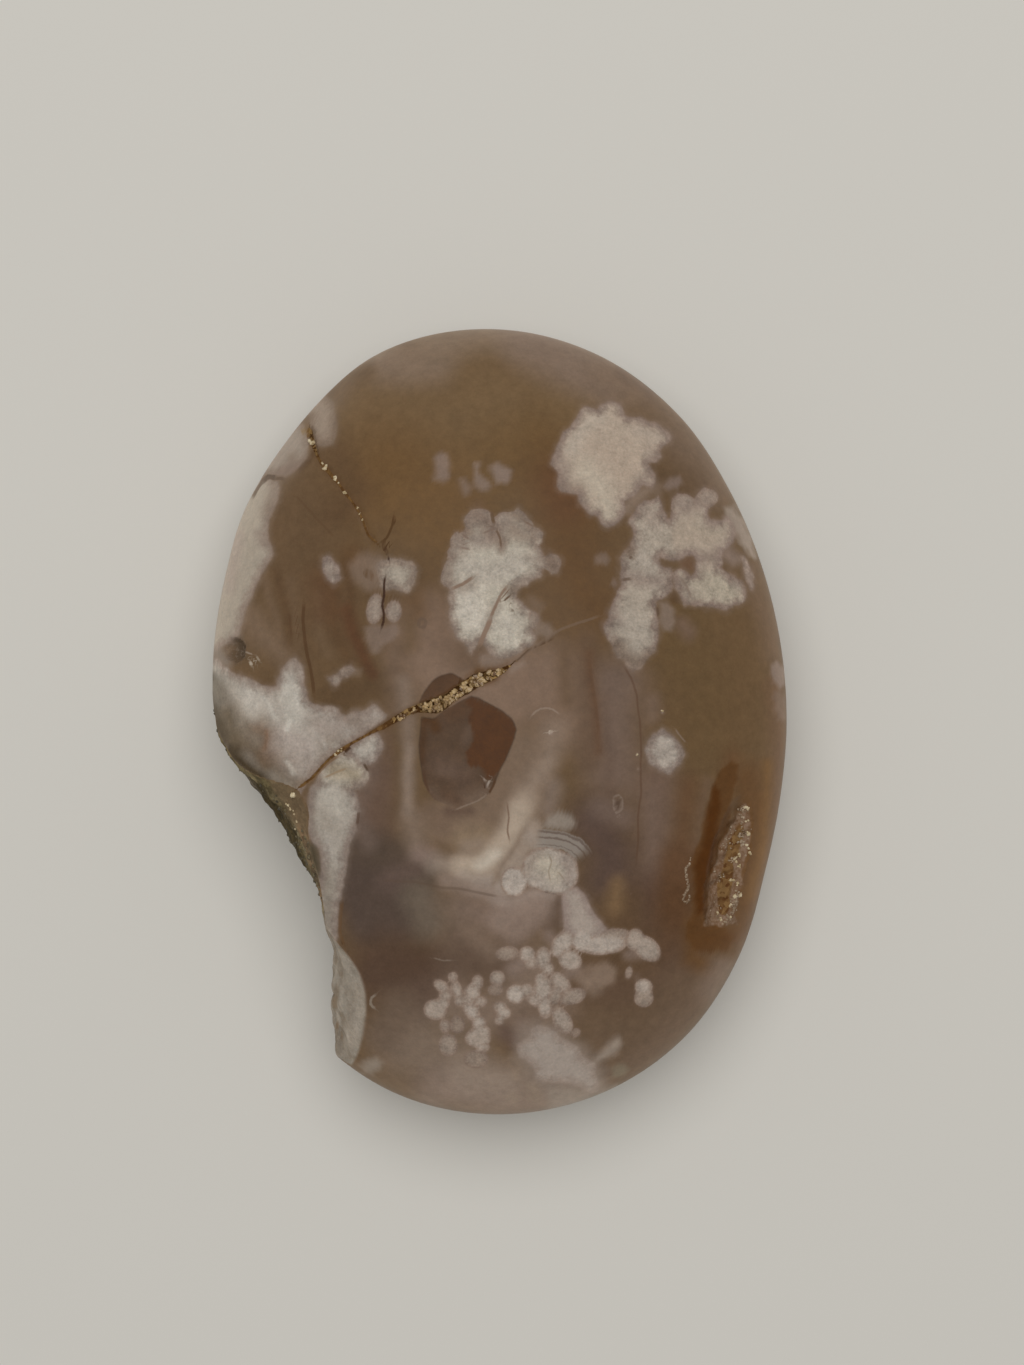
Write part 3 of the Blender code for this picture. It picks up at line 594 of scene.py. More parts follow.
# Blurred flowers under the surface: (tone, strength, softness, outline).
ghosts = [
    ((137, 121, 112), .6, .35, [-5.5, 21.9, -4.9, 22.4, -4.3, 22.1, -4.2, 21.2, -4.2, 20.3, -4.7, 19.8,
        -5.4, 20.1, -5.3, 20.8]),
    ((137, 121, 112), .45, .35, [-3.4, 20.3, -2.8, 20.2, -2.4, 19.6, -2.5, 18.9, -2.9, 18.7, -3.2, 19.3]),
    ((140, 124, 115), .55, .3, [-2.1, 21.4, -1.7, 21.3, -1.7, 20.6, -1.3, 20.1, -.7, 19.6, -1, 19.1,
        -1.6, 19, -2, 19.6, -2.1, 20.6]),
    ((142, 126, 117), .6, .3, [-.8, 21.2, -.2, 21.4, .5, 21.1, 1, 20.8, .9, 20.1, .5, 19.8, .1, 19.9,
        -.3, 19.7, -.6, 20.3]),
    ((140, 126, 114), .9, .35, [18.7, 17.8, 19.4, 17.9, 20.4, 16.3, 21.1, 14.6, 21.3, 13.6, 20.8, 13.8,
        20, 14.8, 19.3, 16.2, 18.7, 17]),
    ((134, 118, 110), .5, .3, [13.6, 19.4, 14.2, 20.2, 14.9, 20.3, 15.2, 19.7, 14.8, 19.3, 14.1, 19.1]),
    ((128, 112, 100), .75, .3, [13.2, 9.9, 13.9, 9.8, 14.5, 9.1, 14.6, 8.2, 14.2, 7.5, 13.6, 7.4,
        13.3, 8.3]),
    ((134, 118, 108), .45, .25, [8, 13, 7.9, 13.6, 8.3, 14.1, 8.8, 14, 9.1, 13.4, 8.9, 13]),
    ((134, 118, 110), .5, .2, [9.2, 11.4, 9.5, 11.8, 9.9, 11.4, 9.6, 11]),
    ((138, 122, 110), .5, .3, [2.6, 9, 3.2, 9, 3.6, 8.3, 4.2, 8.1, 4.5, 7.4, 4, 6.9, 3.3, 7.1, 2.9, 6.8]),
    ((130, 112, 98), .35, .4, [2.3, 9.2, 3.4, 9, 3.7, 9.8, 3, 10.4, 2.3, 10.4]),
    ((136, 120, 108), .5, .3, [-1.6, 5.6, -.8, 5.5, .2, 5.1, .3, 4.7, -.5, 4.5, -1.5, 4.5, -1.7, 5]),
    ((136, 120, 108), .5, .3, [.7, 4.3, 1.3, 4.6, 1.9, 5.1, 2.1, 4.7, 1.5, 4.1, .9, 3.9]),
    ((126, 108, 94), .65, .5, [-12.6, 12.8, -12, 13.7, -11, 14, -9.9, 13.7, -9.6, 12.4, -9.8, 11.1,
        -10.8, 10.8, -12, 11.4]),
    ((132, 116, 106), .5, .3, [-11.3, 7.9, -10.6, 8, -9.6, 7.9, -8.6, 8.2, -8.3, 7.4, -8.8, 6.7, -9.7, 6.4,
        -9.9, 5.8, -10.4, 5.6, -10.9, 6.1, -11.3, 6.9]),
    ((122, 104, 88), .5, .3, [-12.2, 4.4, -11.6, 4.3, -11.6, 3.7, -12.3, 3.8]),
    ((134, 122, 110), .8, .4, [-11.6, -28.6, -11, -28.1, -10.3, -28, -9.8, -28.3, -9.9, -28.9, -10.6, -29.3,
        -11.2, -29.2]),
    # grey-blue cloudlet
    ((138, 127, 116), .85, .3, [3.4, -8.9, 4.1, -7.9, 5, -7.6, 5.9, -7.9, 6.3, -8.6, 5.6, -9, 4.5, -9]),
    ((134, 114, 98), .5, .3, [6.4, -20.6, 7.6, -20.1, 8.8, -20, 9.5, -20.6, 9.4, -21.4, 8.6, -22, 7.4, -22.2,
        6.6, -21.6]),
    ((126, 110, 98), .45, .3, [-.3, -16.4, .3, -16, .8, -16.5, .5, -17.1, -.1, -17.1]),
    ((133, 115, 100), .55, .5, [6.3, -21.4, 7.3, -21, 8, -20.3, 9, -20.2, 9.6, -20.8, 9.5, -21.5, 8.7, -22,
        8.4, -22.6, 7.7, -22.9, 7, -22.3]),
    ((122, 104, 90), .45, .3, [11.1, -20.9, 11.6, -21, 11.6, -21.6, 11.1, -21.6]),
    ((145, 132, 120), .75, .4, [7.9, -28.3, 8.1, -27.7, 8.4, -27.3, 8.9, -26.8, 9.4, -26.4, 9.9, -26.4,
        10.2, -26.8, 10, -27.3, 9.5, -27.8, 8.8, -28.1]),
    ((126, 118, 100), .5, .35, [9.3, -28.7, 10.2, -28.5, 10.7, -29, 10.2, -29.6, 9.4, -29.5]),
    ((133, 120, 109), .6, .8, [1.4, -25.6, 3, -24.8, 4.8, -25.2, 7, -27, 8.8, -29, 9, -31, 6, -32,
        2.6, -30.4, 1.2, -28]),
    ((140, 122, 104), .5, .25, [.8, -29.4, 1.2, -29.1, 1.6, -29.4, 1.3, -29.9, .9, -29.9]),
    ((136, 120, 104), .5, .4, [.4, -31.2, 1.1, -30.8, 1.7, -31.2, 1.2, -31.8]),
    ((136, 120, 104), .5, .4, [2.3, -30.2, 2.9, -30, 3.5, -31, 3.2, -31.8, 2.4, -31.5]),
    ((140, 128, 116), .5, .5, [4, -30.6, 6, -30.6, 8, -31.2, 9.6, -30.2, 10.2, -30.6, 8, -32.6, 4, -33.4]),
    ((134, 117, 107), .7, .3, [22.6, 4.6, 23.1, 4.9, 23.7, 4.2, 23.8, 3.2, 23.2, 2.7, 22.8, 3.2, 22.5, 3.9]),
    ((132, 116, 106), .3, .3, [22.7, 2.4, 23.3, 2.6, 23.8, 1.6, 23.7, .2, 23.1, .1, 22.8, 1.2]),
    # dark gap in the right flower
    ((88, 68, 50), .75, .2, [13.9, 10.3, 14.4, 10.9, 14.9, 10.4, 15, 9.8, 14.2, 9.7]),
    ((104, 80, 64), .75, .25, [15, 13.6, 16.1, 13.7, 16.3, 12.6, 15.6, 12.4, 15, 12.8]),
    # the amber zone left of the slit, darker along its middle
    ((87, 59, 34), .85, .14, [19.2, -3.2, 18.4, -4.1, 17.8, -5, 17.45, -6, 17.3, -7, 17, -8, 16.8, -9,
        16.55, -10, 16.2, -10.8, 16, -11.5, 15.9, -12.5, 16, -14, 16, -15, 15.9, -16, 15.5, -17, 15.5, -18.2,
        16.4, -19.2, 17.6, -19.2, 18.9, -19, 19.2, -18.2, 18.9, -17.3, 17.6, -16.6, 18.4, -13, 18.8, -10,
        19.1, -8, 19.3, -6.2, 19.6, -5, 19.8, -3.6]),
    ((75, 44, 19), .85, .3, [17.75, -5.4, 17.5, -6.6, 17.3, -7.6, 17, -9, 16.9, -10, 16.5, -11, 16.25, -12,
        16.2, -13.4, 16.3, -14.8, 16.4, -16.2, 17, -15.6, 17.1, -14, 17.3, -12.8, 17.6, -11.6, 17.9, -10.4,
        18, -9.2, 18.2, -8, 18.4, -6.8, 18.2, -5.8]),
]

# Crisp flowers: (heart tone, edge tone, outline).
cream, mauve = (166, 150, 135), (134, 117, 108)
flowers = {
    "roseFlower": ((168, 152, 136), (134, 117, 106), [9.2, 26.6, 10, 26.3, 10.3, 25.6, 10.6, 25.3,
        11.6, 25.3, 12.3, 24.9, 13.2, 24.6, 13.9, 24.2, 14.3, 23.6, 14, 23.1, 13.6, 22.8, 13.3, 22.4,
        13.4, 21.9, 13, 21.5, 12.3, 21.4, 12.8, 20.6, 13, 19.8, 12.6, 19.4, 11.9, 19.6, 11.5, 19, 10.9, 18.6,
        10.3, 18.3, 10.4, 17.6, 10.2, 16.9, 9.6, 16.3, 9, 16.1, 8.5, 16.3, 8.2, 16.9, 7.5, 17.1, 7.1, 17.6,
        6.5, 18.1, 6.4, 18.8, 5.6, 19, 5, 19, 4.7, 19.4, 4.75, 20, 4.95, 20.4, 4.6, 20.9, 4.15, 21.4,
        4.4, 22.1, 4.75, 22.8, 5.1, 23.6, 5.3, 24.1, 5.9, 24.5, 6.3, 25.2, 6.7, 25.9, 7.1, 26.2, 7.6, 26,
        8, 25.9, 8.4, 26.3, 8.9, 26.6]),
    "column": ((160, 148, 134), (132, 115, 104), [10.6, 16.5, 11, 17.2, 11.4, 17.9, 11.9, 18.35, 12.5, 18.3,
        12.8, 18.6, 13.2, 18.7, 13.5, 18.3, 13.6, 17.4, 13.9, 16.8, 14.8, 16.9, 15.4, 15.6, 15.3, 13.9,
        14.9, 13.35, 14.2, 13.3, 13.8, 13.5, 13.3, 13.8, 13.15, 13.4, 13.4, 12.95, 14.2, 12.75, 14.45, 12,
        14.4, 11.2, 14.2, 10.7, 13.6, 10.3, 13.1, 10, 13, 9.2, 13.15, 8.2, 13.25, 7.4, 13.1, 6.5, 12.9, 5.8,
        12.4, 5.2, 12, 4.8, 11.6, 4.3, 11, 4.05, 10.6, 4.4, 10.3, 5, 9.7, 5.2, 9.4, 5.9, 9.2, 6.6, 8.8, 7.1,
        8.55, 7.8, 8.9, 8.6, 9.2, 9.3, 9.5, 10, 9.8, 10.7, 10.1, 11.2, 9.9, 11.8, 9.9, 12.3, 10, 12.8,
        10, 13.6, 10.4, 14.3, 10.9, 14.8, 11.1, 15.4, 11, 16]),
    "rightArm": ((162, 147, 132), (134, 117, 107), [13.2, 15.2, 13.6, 16.5, 14.2, 16.9, 14.3, 18, 14.4, 18.5,
        14.8, 18.85, 15.4, 18.75, 16.1, 18.5, 16.4, 18.9, 17, 19.3, 17.6, 19.1, 17.9, 18.6, 17.4, 17.9,
        17.2, 17.2, 17.4, 16.7, 18.2, 16.7, 18.8, 17, 19.3, 16.6, 19.6, 15.8, 19.5, 15, 18.9, 14.4, 18.5, 14,
        18.5, 13.2, 18, 12, 16.6, 11.4, 16.25, 12.5, 16.35, 13.2, 16.1, 13.75, 15.5, 13.8, 15, 13.4,
        14.4, 13.3, 13.5, 13.8]),
    "lowerArm": ((163, 151, 135), (132, 115, 104), [14.3, 11.9, 14.5, 12.5, 15, 12.7, 15.4, 12.5, 15.8, 12.2,
        16.2, 12.4, 16.6, 13.2, 17.8, 13.2, 18.3, 12.7, 18.9, 12.35, 19.6, 12, 20.1, 11.6, 20.45, 11,
        20.55, 10.3, 20.3, 9.8, 19.8, 9.65, 19.3, 9.5, 18.9, 9.1, 18.5, 9.15, 18, 9.25, 17.4, 9.4,
        16.8, 9.55, 16.3, 9.5, 15.9, 9.6, 15.4, 9.6, 15, 10.1, 14.7, 10.7, 14.4, 11.3]),
    "streak": ((150, 134, 122), (134, 117, 106), [20, 13.6, 20.4, 13.7, 20.85, 12.6, 21.15, 11.2, 20.8, 10.9,
        20.4, 12]),
    "chalkFlower": ((175, 166, 151), (138, 122, 110), [-2.9, 17, -2.3, 17.5, -1.7, 17.4, -1, 17, -.6, 16.5,
        -.4, 16.2, -.2, 16.5, .1, 17, .6, 17.3, 1, 17.4, 1.5, 17.7, 2, 17.2, 2.5, 16.8, 2.7, 16.3, 3.2, 16,
        3.6, 15.5, 3.4, 14.9, 3.2, 14.6, 3.5, 14.2, 3.7, 13.8, 4.2, 14, 4.7, 13.9, 5, 13.5, 5.1, 12.9,
        4.8, 12.3, 4.3, 12.3, 3.9, 12.7, 3.5, 12.6, 3.3, 12, 2.9, 11.8, 2.4, 11.6, 2.1, 11.3, 1.7, 11.3,
        1.4, 10.2, 1.9, 9.9, 2.2, 9.4, 2.6, 9, 2.9, 8.4, 2.8, 7.6, 3, 6.8, 2.8, 6.2, 2.1, 6, 1.6, 5.6,
        1, 5.3, .3, 5.1, -.3, 5.2, -.8, 5.6, -1.2, 6.1, -1.6, 6.6, -1.9, 6.3, -2.3, 5.7, -2.6, 5.9, -3, 6.6,
        -3.6, 6.9, -4, 7.5, -4.15, 8.4, -4.25, 9.4, -4.25, 10.2, -4.1, 10.8, -4.4, 11.1, -4.8, 11.5,
        -4.8, 12.4, -4.6, 13.1, -4.25, 13.6, -4.2, 14.3, -3.9, 14.9, -3.7, 15.5, -3.1, 15.6, -2.9, 16,
        -3, 16.5]),
    "leftSpot": ((160, 149, 137), (134, 118, 108), [-14.7, 13.7, -14.2, 13.8, -13.8, 13.4, -13.4, 12.9,
        -13.3, 12.3, -13.2, 11.9, -13.5, 11.5, -13.9, 11.4, -14.3, 11.7, -14.7, 12.3, -14.9, 12.9]),
    "twinUpper": ((160, 149, 135), (136, 120, 107), [-10.4, 13, -9.9, 13.4, -9.2, 13.6, -8.3, 13.6,
        -7.4, 13.2, -6.8, 12.6, -7, 11.8, -7.2, 11.2, -7.7, 10.65, -8.6, 10.8, -9.6, 10.8, -9.9, 11.4,
        -10.3, 12.3, -10.4, 12.9]),
    "dash": ((144, 131, 119), (126, 110, 98), [-14.3, 3.6, -13.7, 3.9, -13.2, 4.2, -12.8, 4.6, -12.4, 4.7,
        -12.1, 4.2, -12.4, 3.8, -13, 3.6, -13.4, 3, -13.7, 2.8, -14.1, 3.2]),
    "leftStrip": ((155, 144, 130), (136, 120, 108), [-18.4, 19.9, -18.3, 19.2, -18.5, 18.3, -18.9, 17.4,
        -19.2, 16.6, -19.3, 15.8, -19.2, 15.1, -18.9, 14.5, -18.8, 13.9, -19.1, 13.3, -19.5, 12.7,
        -19.9, 12.1, -20.2, 11.3, -20.5, 10.6, -20.9, 9.9, -21.25, 9, -21.4, 8.1, -21.7, 7.1, -22.5, 6.5,
        -23.4, 6, -24.6, 5.5, -26.2, 6.9, -27.2, 6.2, -28.6, 7.8, -28, 9.4, -29.8, 10.6, -30.2, 12,
        -28.6, 13, -27.6, 14, -29, 15.2, -28.8, 16.8, -27, 17.4, -26.6, 19, -24.8, 19.4, -23.8, 21,
        -22.4, 20.5, -20, 20.5]),
    "shoulderUpper": ((134, 118, 104), (117, 100, 85), [-15.8, 25.3, -17.4, 27.6, -16.4, 29.4, -14.8, 28.2,
        -14.4, 26.9, -13.8, 26.5, -13.6, 25.6, -13.5, 24.6, -13.5, 23.8, -13.9, 22.9, -14.7, 22.8,
        -15.3, 22.9, -15.5, 23.6, -15.8, 24.4]),
    "shoulderLower": ((140, 127, 115), (122, 106, 93), [-16.3, 24.6, -15.9, 23.4, -15.9, 22.6, -16, 21.9,
        -16.6, 21.2, -17.2, 20.6, -17.8, 20.3, -18.8, 20.4, -19.4, 20.5, -20.8, 21.6, -23.4, 23.4,
        -22.4, 25.8, -19.4, 27, -17.4, 25.6]),
    "leftWhite": ((168, 159, 148), (140, 125, 114), [-23.4, 5.2, -22.9, 4.6, -22.3, 4.1, -21.8, 3.8,
        -21, 3.6, -20.4, 3.3, -19.7, 3, -19, 2.9, -18.6, 3, -18.4, 3.7, -18.2, 4.3, -17.8, 4.8, -17.2, 5.2,
        -17, 5.3, -16.7, 5, -16.4, 4.5, -16.3, 3.8, -16.2, 3.1, -16, 2.4, -15.8, 1.7, -15.3, 1.3, -14.6, 1.2,
        -13.9, 1.2, -13.5, 1, -13.3, .7, -12.9, .4, -12.3, .7, -11.6, .8, -11.1, 1, -10.6, 1.4, -10.2, 1.3,
        -9.8, .9, -9.4, .5, -9.5, .1, -10, -.2, -10.8, -.7, -11.4, -1.2, -12.3, -1.8, -12.9, -2.2,
        -13.5, -2.5, -14.2, -3.1, -15, -4, -15.7, -4.8, -16.4, -5.8, -17.2, -7, -18.8, -7, -20.6, -5.8,
        -22.4, -4.2, -23.8, -2.6, -24.8, -1.6, -26.4, -.6, -27.6, .8, -28.4, 3.4, -26.4, 5, -24.6, 5.2]),
    "underVeinRight": ((163, 154, 143), (136, 121, 111), [-12.8, -2.2, -12, -1.6, -11.1, -1.15, -10.2, -.8,
        -9.9, -1.2, -9.8, -1.8, -9.7, -2.3, -9.9, -2.8, -10.2, -3.2, -10.7, -3.6, -11.2, -3.8, -11.9, -3.6,
        -12.6, -3]),
    "underVein": ((166, 156, 142), (138, 123, 111), [-15.6, -4.3, -14.9, -3.4, -14.1, -2.7, -13.3, -2.2,
        -12.6, -2.4, -11.7, -3.2, -11.2, -3.7, -10.9, -4.3, -11, -5, -11.3, -5.5, -11.9, -5.7, -12.5, -6.2,
        -14, -6.2, -15.4, -5.2, -15.3, -4.3]),
    "hollowLip": ((158, 149, 138), (132, 118, 108), [-15.2, -5.1, -14.4, -4.7, -13.2, -4.5, -12.6, -5,
        -12.4, -5.5, -12, -6, -11.8, -6.7, -11.6, -7.5, -11.9, -8.4, -12, -9.1, -12.2, -9.6, -12.5, -10.1,
        -12.6, -10.8, -12.7, -11.5, -12.8, -12.5, -13, -13.3, -13.1, -14, -13.2, -14.8, -13.4, -15.2,
        -13.5, -16.2, -13.5, -17.2, -13.5, -18, -13.8, -18.6, -15.6, -18.6, -15.3, -14, -14.9, -12.6,
        -14.8, -11.6, -15, -10.7, -15.6, -10, -16, -9.3, -16.1, -8, -15.9, -6.5, -15.8, -5.5]),
    "spray": ((152, 140, 130), (140, 125, 114), [2.4, -26.3, 2.7, -25.5, 3.2, -25.3, 3.9, -25.4, 4.6, -25.6,
        5, -26.2, 5.6, -26.5, 6.2, -26.9, 6.6, -27.2, 6.8, -27.8, 7.3, -28.2, 7.9, -28.5, 8, -29.3, 8.3, -30,
        8.2, -30.8, 7.3, -31, 6.6, -30.5, 5.6, -30.1, 4.6, -30.1, 3.6, -30, 3, -29.7, 2.8, -29, 2.5, -28.6,
        2.1, -28.2, 1.6, -27.9, 1.4, -27.3, 1.5, -26.8]),
    "rightRound": ((161, 150, 139), (134, 119, 109), [13.5, -.6, 14.15, -.95, 14.75, -1.5, 15.25, -2.1,
        15.4, -2.8, 15, -3.5, 14.5, -4.1, 14, -4.5, 13.4, -4.2, 12.8, -3.9, 12.4, -3.5, 12.2, -2.9, 12, -2.3,
        12.3, -1.6, 12.8, -1.1]),
    "cone": ((159, 146, 135), (141, 125, 116), [5.15, -13.9, 5.8, -13.7, 6.4, -13.8, 6.9, -14.2, 7.2, -14.7,
        7.5, -15.5, 8, -16.1, 8.5, -16.7, 8.9, -17.3, 8.4, -18, 6.6, -18.2, 5.4, -17.6, 5.25, -16.4,
        5.15, -15.2]),
}

softFlowers = {"roseFlower": .6, "rightArm": .65, "leftStrip": .22, "shoulderUpper": .15,
    "shoulderLower": .15, "cone": .3, "spray": .3,
               "hollowLip": .6, "leftWhite": .7}  # how ragged and grainy, 1 for the rest

# Smooth rounded flowers: x, y, half length, half width, turn in degrees, brightness from 0 to 1.
lobes = [-3.9, -21.3, .4, .4, 0, .8, -4.85, -22.05, .7, .45, -35, .7, -3.55, -22.35, .8, .42, -70, .75,
    -3.3, -23.25, .5, .45, 0, .7,
         -4.5, -22.8, .55, .42, 20, .7, -4.75, -23.4, .55, .5, 0, .7, -5.4, -24, .9, .8, 0, .65,
             -4.6, -25.35, .55, .42, 90, .6,
         -3.55, -25.2, .7, .6, 90, .25, -4.3, -26.95, .9, .75, 90, .45, -1.85, -21.75, .6, .45, 90, .75,
             -2.25, -22.55, .65, .6, 90, .8,
         -1.55, -23.3, .5, .42, 0, .75, -2.65, -23.25, .5, .45, 0, .7, -2.35, -24.15, .85, .55, -50, .95,
             -1.75, -25, .55, .5, 0, .9,
         -1.6, -25.75, .75, .55, 0, .75, -1.85, -26.35, 1, .8, 0, .65, -1.45, -27.1, .55, .42, 0, .85,
             -2, -28.1, .95, .7, 0, .3,
         -.25, -21.35, .62, .6, 0, .6, -.35, -22.35, .6, .45, 0, .3, 0, -23.8, .55, .45, -20, .75,
             .3, -24.25, .55, .5, 0, .85,
         -.05, -24.85, .4, .4, 0, .75, .6, -19.3, .9, .55, 5, .4, 2.25, -19.4, .65, .62, 0, .8,
             2.65, -20.15, .6, .5, 0, .6,
         3.6, -19.75, .95, .6, 90, .75, 3.95, -20.55, .5, .5, 0, .8, 3.4, -21.5, .5, .5, 0, .8,
             3.6, -22.3, 1.05, .68, 90, .8,
         3.75, -23.75, .95, .55, 98, .9, 2.85, -23.2, .75, .45, -35, .75, 1.3, -22.7, .78, .75, 0, .95,
             2.2, -22.35, .55, .5, 0, .7,
         5.05, -21.75, 1, .62, -45, .65, 4.6, -22.8, .75, .5, 90, .6, 6.05, -22.9, 1.1, .6, 22, .5,
             5.2, -24.9, 1.15, .68, -58, .65,
         6.3, -25.9, .4, .35, 0, .2, 5.3, -18.35, 1, .72, 32, .9, 4.85, -19, .6, .6, 0, .85,
             5.85, -19.9, .95, .82, -20, .75,
         6.9, -18.25, .85, .85, 0, 1, 8.7, -18.55, 1.85, .82, 6, .95, 9.5, -17.75, 1.2, .5, 8, .5,
             11.25, -18.2, .9, .75, 90, .6,
         12.2, -18.9, 1.25, .88, -42, .65, 11.95, -22.1, .7, .65, 0, .85, 11.95, -23, .75, .75, 0, .4,
             10.7, -20.9, .5, .28, 80, .6,
         4.2, -12.45, 2.25, 1.8, -22, .95, 3, -12.4, 1, 1.5, 0, .85, 5.4, -12.1, 1, 1.1, 0, .8,
             1.15, -13.35, 1.05, 1.15, 0, 1.05,
         -10.4, 9.3, 1.2, .64, 80, .5,
         -8.85, 9.1, .85, .64, 90, .5, -1.75, 16.75, 1.15, .85, 10, .4, .45, 16.5, .9, .85, 0, .55,
             1.5, 16.9, .6, .55, 0, 0,
         2.2, 16.3, .5, .5, 0, .4, 2.9, 15.4, .6, .6, 0, .5, 4.35, 13.15, .68, .68, 0, .12,
             -4.2, 12.2, 1, .65, 80, .35,
         -3.4, 15, .65, .6, 0, .45, -3.75, 14, .6, .5, 0, .5, 2.7, 8.4, .7, .5, 90, .3,
             17.2, 18.5, .85, .7, 0, .4, 15.3, 17.9, 1, .9, 0, .55,
         10.9, -14.3, .05, .05, 0, .5, 4.25, -1, .17, .17, 0, 1, 13.5, .75, .12, .12, 0, .7,
             11.4, -2.8, .13, .13, 0, .7, 11.55, -4, .1, .1, 0, .8]

